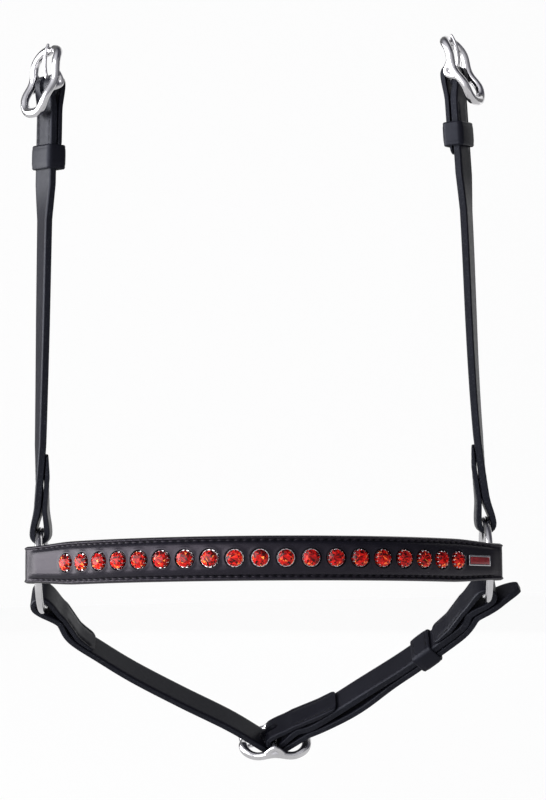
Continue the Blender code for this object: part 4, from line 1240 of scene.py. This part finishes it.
def build_pad():
    """The soft pad and its lining: a filled pillow, drawn in by the stitches, bent to the nose."""
    end = band_straight_end() - PAD_END_GAP
    count = round(2 * end / PAD_STEP)
    runs = [2 * end * index / count for index in range(count + 1)]
    sizes = [max(PAD_END_SHARE, swell(run - end)) for run in runs]
    halves = [PAD_HEIGHT / 2 * (PAD_NARROW_SHARE + (1 - PAD_NARROW_SHARE) * size) - PAD_SWELL
              for size in sizes]
    shares = [index / PAD_COLUMNS - 1 for index in range(2 * PAD_COLUMNS + 1)]

    def wall(i, j):
        crown = math.sqrt(max(PAD_END_SHARE, 1 - abs(shares[j]) ** 3))
        return (PAD_THICK - PAD_SWELL) * sizes[i] * crown

    thing = lay_strap("nose_band_pad", runs, halves, shares, wall, offset=1.0)
    inflate(thing)
    add_modifier(thing, "plump", "SUBSURF", levels=1, render_levels=1)
    apply_all(thing)
    settings = chosen("stitching")
    row = settings.row_share * FACE_HEIGHT / 2
    for vert in thing.data.vertices:
        if vert.co.y < -PAD_SEAM_DEPTH:
            seam = math.exp(-((abs(vert.co.z) - row) / PAD_SEAM_WIDTH) ** 2)
            vert.co.y += PAD_SEAM_DIP * seam * pucker((vert.co.x - end) / settings.pitch + 0.5, BAND_PUCKER)
        vert.co.y = min(vert.co.y, -CLEAR)
    places = [band_spot(run - end)[0] for run in runs]
    stand_on_band(thing, [Vector((place.x, -place.y)) for place in places])
    bpy.ops.object.shade_smooth()
    finish_piece(thing, "lining leather", "nose_band", "nose_band_lining", "nose_band_padding")


def ring_of(count, radius, height, turn=0.0):
    """A ring of points for a cut stone."""
    return settle(new_piece(bpy.ops.mesh.primitive_circle_add, "stone_ring", vertices=count, radius=radius,
                            location=(0, 0, height), rotation=(0, 0, turn)))


def cut_stone():
    """A brilliant: a table, rings of crown facets, a girdle and a pointed back."""
    radius = chosen("stones").radius
    rings = [ring_of(count, radius * share, SETTING_HEIGHT + CROWN_HEIGHT * rise, turn)
             for count, share, rise, turn in STONE_RINGS]
    rings.append(ring_of(8, radius * STONE_POINT_SHARE, SETTING_FLOOR + CLEAR))
    stone = merge(rings, "cut_stone")
    bpy.ops.object.mode_set(mode="EDIT")
    bpy.ops.mesh.select_all(action="SELECT")
    bpy.ops.mesh.convex_hull(join_triangles=True)
    bpy.ops.mesh.select_all(action="SELECT")
    bpy.ops.mesh.poke()
    bpy.ops.mesh.normals_make_consistent(inside=False)
    bpy.ops.object.mode_set(mode="OBJECT")
    return stone


def paint_facet_light(stone, seed):
    """Paints light on each facet of a stone, as a share from painted shade to painted sparks, with more of
    the painted light low on the stone.
    """
    luck = random.Random(seed)
    tilt = -math.pi / 2 + luck.uniform(-1, 1)
    values = []
    for face in stone.data.polygons:
        spot = face.center
        toward = math.cos(math.atan2(spot.y, spot.x) - tilt) * math.hypot(spot.x, spot.y) / CRYSTAL_RADIUS
        share = PAINTED_LIGHT_MEAN + PAINTED_LIGHT_LEAN * toward + luck.gauss(0, PAINTED_LIGHT_SPREAD)
        values.append(min(1, max(0, share)))
    stone.data.attributes.new("painted_facet_light", "FLOAT", "FACE").data.foreach_set("value", values)


def sink_top(thing, rim, depth):
    """Sinks the top face of a piece, and leaves a rim round it."""
    only(thing)
    bpy.ops.object.mode_set(mode="EDIT")
    bpy.ops.mesh.select_all(action="DESELECT")
    bpy.ops.object.mode_set(mode="OBJECT")
    for face in thing.data.polygons:
        face.select = face.normal.z > TOP_FACING
    bpy.ops.object.mode_set(mode="EDIT")
    bpy.ops.mesh.select_mode(type="FACE")
    bpy.ops.mesh.inset(thickness=rim)
    bpy.ops.mesh.extrude_region_move(TRANSFORM_OT_translate={"value": (0, 0, -depth)})
    bpy.ops.object.mode_set(mode="OBJECT")


def claw_cup():
    """A thin cup with a ring of small claws bent over the stone's edge."""
    settings = chosen("stones")
    cup = settle(new_piece(bpy.ops.mesh.primitive_cylinder_add, "claw_cup", vertices=48, depth=CUP_HEIGHT,
                           radius=settings.radius + CUP_WALL, end_fill_type="NGON",
                           location=(0, 0, CUP_HEIGHT / 2)))
    sink_top(cup, CUP_WALL - CUP_GAP, CUP_HEIGHT - SETTING_FLOOR)
    parts = [cup]
    for index in range(settings.claws):
        claw = new_piece(bpy.ops.mesh.primitive_uv_sphere_add, "claw", segments=8, ring_count=6,
                         radius=CLAW_RADIUS)
        claw.scale = (1, 1, CLAW_LENGTH / (2 * CLAW_RADIUS))
        settle(claw)
        seat = turned(2 * math.pi * (index + 0.5) / settings.claws, "Z")
        seat = seat @ shifted(settings.radius + CLAW_OUT, 0, CLAW_HEIGHT) @ turned(-CLAW_LEAN, "Y")
        parts.append(settle(claw, seat))
    cup = merge(parts, "claw_cup")
    smooth(cup)
    return cup


def build_stones():
    """The row of stones, each in a claw cup sunk into the band's face."""
    stone = cut_stone()
    cup = claw_cup()
    base = FACE_THICK + CHANNEL_RISE - RECESS_DEPTH + CLEAR
    for index, run in enumerate(stone_runs()):
        number = f"{index + 1:02d}"
        place = on_band(run, base)
        seed = index + STONE_SEED
        turn = turned(random.Random(seed).uniform(0, math.pi / 4), "Z")
        gem = settle(copy_of(stone, "stone_" + number), turn)
        paint_facet_light(gem, seed)
        settle(gem, place)
        finish_piece(gem, "red glass", "nose_band", "crystal_" + number)
        claws = settle(copy_of(cup, "claw_cup_" + number), place @ turn)
        finish_piece(claws, "cup metal", "nose_band", "crystal_setting_" + number)
    remove(stone)
    remove(cup)


def block(name, length, height, depth):
    """The start of a flat piece of the plate."""
    thing = new_piece(bpy.ops.mesh.primitive_cube_add, name, size=1)
    thing.scale = (length, height, depth)
    return settle(thing)


def build_plate():
    """The framed plate past the last stone, its enamel field left bare."""
    run = stone_runs()[-1] + recess_radius() + PLATE_GAP + PLATE_LENGTH / 2
    place = on_band(run, FACE_THICK + CHANNEL_RISE + CLEAR + PLATE_THICK / 2)
    tray = block("plate_tray", PLATE_LENGTH, PLATE_HEIGHT, PLATE_THICK)
    sink_top(tray, PLATE_RIM, PLATE_SINK)
    depth = PLATE_SINK + PLATE_PROUD - CLEAR
    inset = 2 * PLATE_RIM + CLEAR
    field = block("plate_field", PLATE_LENGTH - inset, PLATE_HEIGHT - inset, depth)
    seat = place @ shifted(0, 0, PLATE_THICK / 2 + PLATE_PROUD - depth / 2)
    for thing, spot, segments, kind, node in ((tray, place, 3, "cup metal", "plate_frame"),
                                              (field, seat, 4, "red enamel", "plate_enamel")):
        add_modifier(thing, "rim", "BEVEL", width=PLATE_SOFT, segments=segments, limit_method="ANGLE")
        apply_all(thing)
        settle(thing, spot)
        smooth(thing)
        finish_piece(thing, kind, "nose_band", node)


def chin_bar():
    return Vector((CHIN_SHIFT, -CHIN_DROP))


def chin_points(side):
    """Control points of a chin strap's main strand, from its ring to the buckle."""
    bar = chin_bar()
    return [Vector((bar.x + (side * RING_SPREAD - bar.x) * across, -CHIN_DROP * down))
            for across, down in CHIN_SHARES[side]]


def chin_fold_radius():
    return CHIN_LOOP_RADIUS + FOLD_THICK / 2


def chin_ring_fold(side):
    away = Vector((-side * math.cos(CHIN_RING_SLOPE), -math.sin(CHIN_RING_SLOPE)))
    inner = Vector((-side * math.sin(CHIN_RING_SLOPE), math.cos(CHIN_RING_SLOPE)))
    wire_spot = Vector((side * RING_SPREAD, -RING_RADIUS))
    eye = wire_spot - away * CHIN_SLIPS[side] + inner * (CHIN_LOOP_RADIUS - RING_WIRE - CLEAR)
    main = STRAP_THICK if side > 0 else BILLET_THICK
    return strap_fold(eye, away, inner, chin_fold_radius(), CHIN_TURN, main)


def chape_fold():
    away = unit(CHIN_BAR_SLOPE)
    return strap_fold(chin_bar(), away, Vector((-away.y, away.x)), bar_fold_radius(), CHAPE_TURN)


def right_chin_line():
    """Main strand of the right chin strap, from the chape's throat to the ring's."""
    start = chape_fold()[0][0]
    end = chin_ring_fold(1)[0][0]
    return smooth_line([start] + chin_points(1)[::-1] + [end], CHIN_STEP)


def finish_chin_strap(name, strap, stitches):
    for thing in (strap, stitches):
        lie_upright(thing, chin_place())
        smooth(thing)
    finish_piece(strap, "strap leather", "chin_strap", name)
    finish_piece(stitches, "waxed thread", "chin_strap")


def build_right_chin_strap():
    """The short strap: chape round the buckle's bar, main strand and ring fold."""
    middle = [(place, STRAP_THICK) for place in right_chin_line()[1:-1]]
    track = press_tip(chape_fold()[::-1] + middle + chin_ring_fold(1))
    track = press_tip(track[::-1])[::-1]
    whole = lengths_of([place for place, _ in track])[-1]
    sewn = fold_rows(CHAPE_TURN, bar_fold_radius()) + fold_rows(CHIN_TURN, chin_fold_radius(), whole)
    finish_chin_strap("right_chin_strap", *sewn_strap("right_chin_leather", track, sewn, -1,
                                                      punches=bar_slot(CHAPE_TURN)))


def billet_arch():
    """The billet's way round the outer side of the folded chape at the bar."""
    radius = bar_fold_radius() + FOLD_THICK / 2 + CLEAR + BILLET_THICK / 2
    first = -math.pi / 2 - CHIN_BAR_SLOPE
    return [chin_bar() + unit(first + 2 * CHIN_BAR_SLOPE * index / LOOP_STEPS) * radius
            for index in range(LOOP_STEPS + 1)]


def billet_outer_line():
    """The billet past the buckle: beside the right strap, with a gap halfway."""
    whole = right_chin_line() + [place for place, _ in chin_ring_fold(1)[1:FOLD_STEPS + 1]]
    beside = (STRAP_THICK + BILLET_THICK) / 2 + CLEAR
    points = []
    for place, normal, run in zip(whole, normals_of(whole), lengths_of(whole)):
        share = (run - BILLET_BULGE_START) / (BILLET_BULGE_END - BILLET_BULGE_START)
        bulge = BILLET_BULGE * math.sin(math.pi * share) ** 2 if 0 < share < 1 else 0
        if run > BILLET_BULGE_START:
            points.append(place - normal * (beside + bulge))
    for _ in range(BILLET_EASING):
        points[1:-1] = [(before + 2 * place + after) / 4
                        for before, place, after in zip(points, points[1:], points[2:])]
    way = (points[-1] - points[-2]).normalized()
    past = BILLET_PAST_RING + BILLET_POINT
    for index in range(1, BILLET_TIP_STEPS + 1):
        turn = index / BILLET_TIP_STEPS * BILLET_TIP_TURN
        points.append(points[-1] + Matrix.Rotation(turn, 2) @ way * (past / BILLET_TIP_STEPS))
    return points


def build_left_chin_strap():
    """The long strap: ring fold, main strand, way through the buckle, and pointed billet."""
    ring = chin_ring_fold(-1)
    arch = billet_arch()
    billet = billet_outer_line()
    main = smooth_line([ring[0][0]] + chin_points(-1) + [arch[0]], CHIN_STEP)[1:-1]
    track = press_tip([(place, BILLET_THICK) for place in (main + arch + billet)[::-1]] + ring)[::-1]
    lengths = lengths_of([place for place, _ in track])
    arch_run = lengths[len(ring) + len(main)]
    billet_run = lengths[len(ring) + len(main) + len(arch)]

    def widths(run, end):
        past = max(0, min(1, (end - run) / BILLET_POINT))
        point = BILLET_POINT_SHARE + (1 - BILLET_POINT_SHARE) * math.sqrt(past)
        return min(point, tip_share(run, 2 * end))

    middle = arch_run - TONGUE_HOLE_LENGTH * TONGUE_HOLE_SHARE
    punches = [slot_punch(middle - TONGUE_HOLE_LENGTH / 2, middle + TONGUE_HOLE_LENGTH / 2, SLOT_WIDTH)]
    punches += [round_punch(billet_run + BILLET_HOLE_PITCH * number, BILLET_HOLE)
                for number in range(1, BILLET_HOLES + 1)]
    sewn = fold_rows(CHIN_TURN, chin_fold_radius())
    finish_chin_strap("left_chin_strap", *sewn_strap("left_chin_leather", track, sewn, -1, widths, punches))


def chin_keeper_place():
    """Seat of the chin keeper: its Z runs along the straps, towards the right ring."""
    whole = right_chin_line()
    run = 0
    index = len(whole) - 1
    while run < CHIN_KEEPER_FROM_RING:
        run += (whole[index] - whole[index - 1]).length
        index -= 1
    way = (whole[index + 1] - whole[index]).normalized()
    out = Vector((way.y, -way.x))
    beside = (STRAP_THICK + BILLET_THICK) / 2 + CLEAR
    spot = whole[index] + way * (run - CHIN_KEEPER_FROM_RING)
    spot = spot + out * (beside + BILLET_THICK / 2 - STRAP_THICK / 2) / 2
    seat = axes(Vector((out.x, 0, out.y)), Vector((way.x, 0, way.y)))
    return chin_place() @ shifted(spot.x, 0, spot.y) @ seat


def feed(node, values):
    """Links or sets a node's inputs."""
    for name, value in values.items():
        if isinstance(value, bpy.types.NodeSocket):
            node.id_data.links.new(value, node.inputs[name])
        else:
            node.inputs[name].default_value = value
    return node


def node_maker(tree):
    """Adds nodes to a tree, with their settings and what feeds their inputs."""
    def make(kind, inputs=None, **settings):
        node = tree.nodes.new(kind)
        for name, value in settings.items():
            setattr(node, name, value)
        return feed(node, inputs or {})
    return make


def reckon(make, operation, *values):
    return make("ShaderNodeMath", dict(enumerate(values)), operation=operation).outputs[0]


def noise(make, place, scale, detail, roughness=0.5):
    return make("ShaderNodeTexNoise", {"Vector": place, "Scale": scale, "Detail": detail,
                                       "Roughness": roughness}).outputs["Fac"]


def bumps(make, strength, distance, height):
    return make("ShaderNodeBump", {"Strength": strength, "Distance": distance,
                                   "Height": height}).outputs["Normal"]


def new_group(name, inputs, outputs):
    """A node group with named inputs and outputs, as its maker, what comes in and its end."""
    tree = bpy.data.node_groups.new(name, "ShaderNodeTree")
    for way, sockets in (("INPUT", inputs), ("OUTPUT", outputs)):
        for label, kind in sockets.items():
            tree.interface.new_socket(name=label, in_out=way, socket_type="NodeSocket" + kind)
    start = tree.nodes.new("NodeGroupInput").outputs
    return node_maker(tree), start, tree.nodes.new("NodeGroupOutput")


def ramp(make, factor, stops):
    """A colour ramp with the given (place, colour) stops."""
    node = make("ShaderNodeValToRGB", {"Fac": factor})
    elements = node.color_ramp.elements
    while len(elements) < len(stops):
        elements.new(0.5)
    for element, (place, colour) in zip(elements, stops):
        element.position = place
        element.color = (*colour, 1)
    return node.outputs["Color"]


def grain_group(name):
    """Leather's grain: fine pebbling, soft creases, and patches of lighter and darker dye."""
    make, start, end = new_group(
        name, {"Vector": "Vector", "Dye": "Color", "Cell": "Float", "Depth": "Float", "Patch": "Float",
               "Gloss": "Float"},
        {"Color": "Color", "Roughness": "Float", "Normal": "Vector"})
    place = start["Vector"]
    scale = reckon(make, "DIVIDE", 1.0, start["Cell"])
    pebbles = make("ShaderNodeTexVoronoi", {"Vector": place, "Scale": scale, "Smoothness": 0.6},
                   feature="SMOOTH_F1")
    creases = noise(make, place, reckon(make, "MULTIPLY", scale, 0.25), 3.0, 0.6)
    patches = reckon(make, "SUBTRACT", noise(make, place, 55.0, 4.0, 0.55), 0.5)
    lift = reckon(make, "MULTIPLY_ADD", patches, start["Patch"], 1.0)
    dyed = make("ShaderNodeVectorMath", {0: start["Dye"], "Scale": lift}, operation="SCALE")
    height = reckon(make, "MULTIPLY_ADD", pebbles.outputs["Distance"], 0.5, creases)
    feed(end, {"Color": dyed.outputs[0], "Normal": bumps(make, start["Depth"], 0.00012, height),
               "Roughness": reckon(make, "MULTIPLY_ADD", creases, 0.22, start["Gloss"])})


def scuff_group(name):
    """Fine scuffs and finger marks on bright plating."""
    make, start, end = new_group(
        name, {"Vector": "Vector", "Gloss": "Float", "Wear": "Float", "Depth": "Float"},
        {"Roughness": "Float", "Normal": "Vector"})
    smears = noise(make, start["Vector"], 130.0, 5.0, 0.6)
    ripple = noise(make, start["Vector"], 420.0, 2.0)
    feed(end, {"Roughness": reckon(make, "MULTIPLY_ADD", smears, start["Wear"], start["Gloss"]),
               "Normal": bumps(make, start["Depth"], 0.0001, ripple)})


def new_material(name):
    """A material, as a maker for its nodes, its shader and the object's own coordinates."""
    material = bpy.data.materials.new(name)
    material.use_nodes = True
    make = node_maker(material.node_tree)
    shader = material.node_tree.nodes["Principled BSDF"]
    return make, shader, make("ShaderNodeTexCoord").outputs["Object"]


def add_group(make, name, values):
    """A node of the group of that name, which is built the first time it is asked for."""
    if name not in bpy.data.node_groups:
        GROUPS[name](name)
    return make("ShaderNodeGroup", values, node_tree=bpy.data.node_groups[name]).outputs


def grained(make, place, colour, cell, depth, patch, gloss):
    """The leather grain with one leather's values."""
    return add_group(make, "leather grain", {"Vector": place, "Dye": (*colour, 1), "Cell": cell,
                                             "Depth": depth, "Patch": patch, "Gloss": gloss})


def strap_leather(name):
    """Smooth bridle leather, rough and flecked where the strap is cut."""
    make, shader, place = new_material(name)
    face = grained(make, place, chosen("leather").colour, 0.00045, 0.16, 0.5, 0.3)
    edge = grained(make, place, chosen("leather").cut_colour, 0.0007, 0.9, 1.6, 0.5)
    cut = make("ShaderNodeAttribute", attribute_name="cut").outputs["Fac"]
    mask = make("ShaderNodeMapRange", {"Value": cut, "From Min": 0.55, "From Max": 0.9}).outputs["Result"]
    fibres = noise(make, place, 1400.0, 3.0, 0.7)
    specks = ramp(make, fibres, ((0.56, (0, 0, 0)), (0.72, (0.05, 0.052, 0.056))))
    flecked = make("ShaderNodeMix", {"Factor": 0.7, "A": edge["Color"], "B": specks},
                   data_type="RGBA", blend_type="ADD")
    for label, kind, low, high in (("Base Color", "RGBA", face["Color"], flecked.outputs["Result"]),
                                   ("Roughness", "FLOAT", face["Roughness"], edge["Roughness"]),
                                   ("Normal", "VECTOR", face["Normal"], edge["Normal"])):
        mix = make("ShaderNodeMix", {"Factor": mask, "A": low, "B": high}, data_type=kind)
        feed(shader, {label: mix.outputs["Result"]})
    feed(shader, {"Specular IOR Level": 0.22, "Specular Tint": (0.8, 0.84, 1, 1)})


def plain_leather(name, colour, grain, shine):
    """Leather with one grain all over, and the shine that its shader adds."""
    make, shader, place = new_material(name)
    face = grained(make, place, colour, *grain)
    feed(shader, {"Base Color": face["Color"], "Roughness": face["Roughness"], "Normal": face["Normal"],
                  **shine})


def face_leather(name):
    """The polished leather of the nose band's face."""
    plain_leather(name, chosen("leather").colour, (0.0004, 0.14, 0.6, 0.27),
                  {"Specular IOR Level": 0.3, "Specular Tint": (0.95, 0.82, 1, 1),
                   "Coat Weight": 0.1, "Coat Roughness": 0.25})


def soft_lining(name):
    """The soft, matt leather over the pad."""
    plain_leather(name, chosen("leather").lining_colour, (0.0009, 0.5, 0.5, 0.42),
                  {"Specular IOR Level": 0.3})


def waxed_thread(name):
    """Twisted thread, dark with wax."""
    make, shader, place = new_material(name)
    low = chosen("stitching").colour
    twist = make("ShaderNodeTexWave", {"Vector": place, "Scale": 420.0, "Distortion": 2.0, "Detail": 1.0},
                 bands_direction="DIAGONAL").outputs["Fac"]
    feed(shader, {"Base Color": ramp(make, twist, ((0.2, low), (0.9, [part * 2.2 for part in low]))),
                  "Normal": bumps(make, 0.6, 0.0001, twist), "Roughness": 0.6, "Specular IOR Level": 0.15})


def bright_metal(name):
    """Bright plating with a few scuffs."""
    make, shader, place = new_material(name)
    colour = chosen("metal").colour
    marks = add_group(make, "plating scuffs", {"Vector": place, "Gloss": 0.1, "Wear": METAL_WEAR[name],
                                               "Depth": 0.05})
    dull = [part * 0.86 for part in colour]
    feed(shader, {"Base Color": ramp(make, noise(make, place, 90.0, 3.0), ((0.35, dull), (0.65, colour))),
                  "Roughness": marks["Roughness"], "Normal": marks["Normal"], "Metallic": 1})


def red_glass(name):
    """Red glass with light painted on it: each facet's colour, from painted shade through red to painted
    sparks, stands in for the light that it sends back.
    """
    make, shader, _ = new_material(name)
    settings = chosen("stones")
    painted_facet_light = make("ShaderNodeAttribute", attribute_name="painted_facet_light").outputs["Fac"]
    colour = ramp(make, painted_facet_light, ((0.22, settings.dark), (0.5, settings.red), (0.78, PAINTED_HIGHLIGHT_FACETS),
                               (0.94, settings.painted_spark)))
    # The painted facet colour also feeds the emission, so the stones glow a little as painted light, though
    # they are no lamp.
    feed(shader, {"Base Color": colour, "Emission Color": colour, "Emission Strength": 0.25,
                  "Roughness": 0.08, "IOR": 1.5, "Specular IOR Level": 0.25})


def red_enamel(name):
    """Smooth fired enamel, a little uneven."""
    make, shader, place = new_material(name)
    colour = chosen("metal").enamel
    cloud = noise(make, place, 300.0, 3.0)
    feed(shader, {"Base Color": ramp(make, cloud, ((0.3, [part * 0.6 for part in colour]), (0.7, colour))),
                  "Normal": bumps(make, 0.1, 0.0001, cloud), "Roughness": 0.18, "Coat Weight": 0.5})


def pale_stage(name, shine):
    """White to the camera, with its own shine in reflections, and shaded by the noseband."""
    make, shader, _ = new_material(name)
    feed(shader, {"Base Color": (0.8, 0.8, 0.8, 1), "Roughness": 0.9})
    path = make("ShaderNodeLightPath").outputs
    camera = path["Is Camera Ray"]
    strength = make("ShaderNodeMapRange", {"Value": camera, "To Min": shine, "To Max": 1.0}).outputs["Result"]
    glow = make("ShaderNodeEmission", {"Color": (1, 1, 1, 1), "Strength": strength})
    share = reckon(make, "MULTIPLY", reckon(make, "MAXIMUM", camera, path["Is Glossy Ray"]), 0.93)
    mix = make("ShaderNodeMixShader", {"Fac": share, 1: shader.outputs[0], 2: glow.outputs[0]})
    feed(shader.id_data.nodes["Material Output"], {"Surface": mix.outputs[0]})
    return bpy.data.materials[name]


GROUPS = {"leather grain": grain_group, "plating scuffs": scuff_group}
MATERIALS = {
    "strap leather": strap_leather, "band leather": face_leather, "lining leather": soft_lining,
    "waxed thread": waxed_thread, "cast metal": bright_metal, "cup metal": bright_metal,
    "red glass": red_glass, "red enamel": red_enamel,
}


def material_of(name):
    """The material of that name, made the first time it is asked for."""
    if name not in bpy.data.materials:
        MATERIALS[name](name)
    return bpy.data.materials[name]


def add_lamp(name, power, size, place, target):
    """A square soft lamp that looks at a point."""
    data = bpy.data.lights.new(name, "AREA")
    data.energy = power
    data.size = size
    lamp = new_object(name, data)
    lamp.location = place
    lamp.rotation_euler = (target - place).to_track_quat("-Z", "Y").to_euler()


def pale_room():
    """A world that is white to the camera, and shaded from a bright window in reflections."""
    world = bpy.data.worlds.new("pale room")
    world.use_nodes = True
    bpy.context.scene.world = world
    nodes = world.node_tree.nodes
    make = node_maker(world.node_tree)
    place = make("ShaderNodeTexCoord").outputs["Generated"]
    window = make("ShaderNodeVectorMath", {0: place, 1: ROOM_WINDOW}, operation="DOT_PRODUCT")
    span = make("ShaderNodeMapRange", {"Value": window.outputs["Value"], "From Min": -1.0, "From Max": 1.0})
    back = feed(nodes["Background"], {"Color": ramp(make, span.outputs["Result"], ROOM_SHADES),
                                      "Strength": chosen("stage").world})
    white = make("ShaderNodeBackground", {"Color": (1, 1, 1, 1), "Strength": 1.0})
    camera = make("ShaderNodeLightPath").outputs["Is Camera Ray"]
    mix = make("ShaderNodeMixShader", {"Fac": camera, 1: back.outputs[0], 2: white.outputs[0]})
    feed(nodes["World Output"], {"Surface": mix.outputs[0]})


def build_stage():
    """Floor, backdrop, soft lamps, a pale world and the camera."""
    settings = chosen("stage")
    middle = (CAD_BOX[0] + CAD_BOX[1]) / 2
    height = CAD_BOX[0].z - settings.floor_gap
    for name, place, turn, shine in (
            ("floor", (0, 0, height), 0, FLOOR_SHINE),
            ("backdrop", (0, BACKDROP_DISTANCE, height + STAGE_SIZE / 4), math.pi / 2, BACKDROP_SHINE)):
        thing = settle(new_piece(bpy.ops.mesh.primitive_plane_add, name, size=STAGE_SIZE, location=place,
                                 rotation=(turn, 0, 0)))
        thing.data.materials.append(pale_stage("pale " + name, shine))
    for name, power, share, size, place in LAMPS:
        add_lamp(name, share * getattr(settings, power), size, middle + Vector(place), middle)
    pale_room()
    camera = bpy.data.cameras.new("photo view")
    camera.lens = CAMERA_LENS
    camera.sensor_width = CAMERA_SENSOR
    camera.clip_start = 0.05
    thing = new_object("photo view", camera)
    thing.matrix_world = shifted(*CAMERA_PLACE) @ turned(math.pi / 2, "X") @ turned(-CAMERA_ROLL, "Z")
    bpy.context.scene.camera = thing
    bpy.context.scene.view_settings.view_transform = "Standard"


class NOSEBAND_OT_cheekpieces(bpy.types.Operator):
    """Make both cheekpieces with their stitching"""

    bl_idname = "noseband.cheekpieces"
    bl_label = "Cheekpieces"

    def execute(self, context):
        for word, side in SIDES:
            build_cheek_strap(word, side)
        return {"FINISHED"}


class NOSEBAND_OT_keepers(bpy.types.Operator):
    """Make the three sewn keepers"""

    bl_idname = "noseband.keepers"
    bl_label = "Keepers"

    def execute(self, context):
        for word, side in SIDES:
            build_keeper(word + "_keeper_loop", KEEPER_DEPTH, cheek_keeper_place(side), (),
                         word + "_keeper", word + "_cheek_keeper")
        rows = (-KEEPER_ROW_SHARE * KEEPER_HEIGHT / 2, KEEPER_ROW_SHARE * KEEPER_HEIGHT / 2)
        build_keeper("chin_keeper_loop", CHIN_KEEPER_DEPTH, chin_keeper_place(), rows,
                     "chin_keeper", "chin_keeper")
        return {"FINISHED"}


class NOSEBAND_OT_rings(bpy.types.Operator):
    """Make the two rings"""

    bl_idname = "noseband.rings"
    bl_label = "Rings"

    def execute(self, context):
        for word, side in SIDES:
            build_ring(word, side)
        return {"FINISHED"}


class NOSEBAND_OT_buckles(bpy.types.Operator):
    """Make the three cast buckles and their tongues"""

    bl_idname = "noseband.buckles"
    bl_label = "Buckles"

    def execute(self, context):
        seats = [(word, side, buckle_place(side)) for word, side in SIDES]
        seats.append(("chin", 1, chin_buckle_place()))
        for word, side, place in seats:
            build_frame(word, side, place)
            build_tongue(word, side, place)
        return {"FINISHED"}


class NOSEBAND_OT_face(bpy.types.Operator):
    """Make the nose band's punched face and its two rows of stitches"""

    bl_idname = "noseband.face"
    bl_label = "Nose band face"

    def execute(self, context):
        build_face()
        build_band_stitches()
        return {"FINISHED"}


class NOSEBAND_OT_pad(bpy.types.Operator):
    """Fill and line the pad behind the nose band"""

    bl_idname = "noseband.pad"
    bl_label = "Pad and lining"

    def execute(self, context):
        build_pad()
        return {"FINISHED"}


class NOSEBAND_OT_stones(bpy.types.Operator):
    """Cut the stones and set them in their claw cups"""

    bl_idname = "noseband.stones"
    bl_label = "Stones"

    def execute(self, context):
        build_stones()
        return {"FINISHED"}


class NOSEBAND_OT_plate(bpy.types.Operator):
    """Make the framed plate with its bare enamel field"""

    bl_idname = "noseband.plate"
    bl_label = "Plate"

    def execute(self, context):
        build_plate()
        return {"FINISHED"}


class NOSEBAND_OT_chin_straps(bpy.types.Operator):
    """Make the two halves of the chin strap"""

    bl_idname = "noseband.chin_straps"
    bl_label = "Chin straps"

    def execute(self, context):
        build_right_chin_strap()
        build_left_chin_strap()
        return {"FINISHED"}


class NOSEBAND_OT_stage(bpy.types.Operator):
    """Set up the floor, the lamps and the camera"""

    bl_idname = "noseband.stage"
    bl_label = "Stage"

    def execute(self, context):
        build_stage()
        return {"FINISHED"}


OPERATORS = (
    NOSEBAND_OT_cheekpieces, NOSEBAND_OT_keepers, NOSEBAND_OT_rings, NOSEBAND_OT_buckles,
    NOSEBAND_OT_face, NOSEBAND_OT_pad, NOSEBAND_OT_stones, NOSEBAND_OT_plate,
    NOSEBAND_OT_chin_straps, NOSEBAND_OT_stage,
)
SETTINGS = (
    ("noseband_leather", NosebandLeather), ("noseband_stitching", NosebandStitching),
    ("noseband_stones", NosebandStones), ("noseband_metal", NosebandMetal),
    ("noseband_stage", NosebandStage),
)


class NOSEBAND_PT_pieces(bpy.types.Panel):
    """Lists the noseband's settings and its pieces"""

    bl_label = "Bridle noseband"
    bl_idname = "NOSEBAND_PT_pieces"
    bl_space_type = "VIEW_3D"
    bl_region_type = "UI"
    bl_category = "Noseband"

    def draw(self, context):
        for name, kind in SETTINGS:
            box = self.layout.box()
            for label in kind.__annotations__:
                box.prop(getattr(context.scene, name), label)
        for operator in OPERATORS:
            self.layout.operator(operator.bl_idname)


def register():
    for name, kind in SETTINGS:
        bpy.utils.register_class(kind)
        setattr(bpy.types.Scene, name, bpy.props.PointerProperty(type=kind))
    for kind in OPERATORS + (NOSEBAND_PT_pieces,):
        bpy.utils.register_class(kind)


def unregister():
    for kind in (NOSEBAND_PT_pieces,) + OPERATORS[::-1]:
        bpy.utils.unregister_class(kind)
    for name, kind in SETTINGS[::-1]:
        delattr(bpy.types.Scene, name)
        bpy.utils.unregister_class(kind)


def main():
    register()
    bpy.ops.noseband.cheekpieces()
    bpy.ops.noseband.keepers()
    bpy.ops.noseband.rings()
    bpy.ops.noseband.buckles()
    bpy.ops.noseband.face()
    bpy.ops.noseband.pad()
    bpy.ops.noseband.stones()
    bpy.ops.noseband.plate()
    bpy.ops.noseband.chin_straps()
    bpy.ops.noseband.stage()
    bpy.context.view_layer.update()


if __name__ == "__main__":
    main()
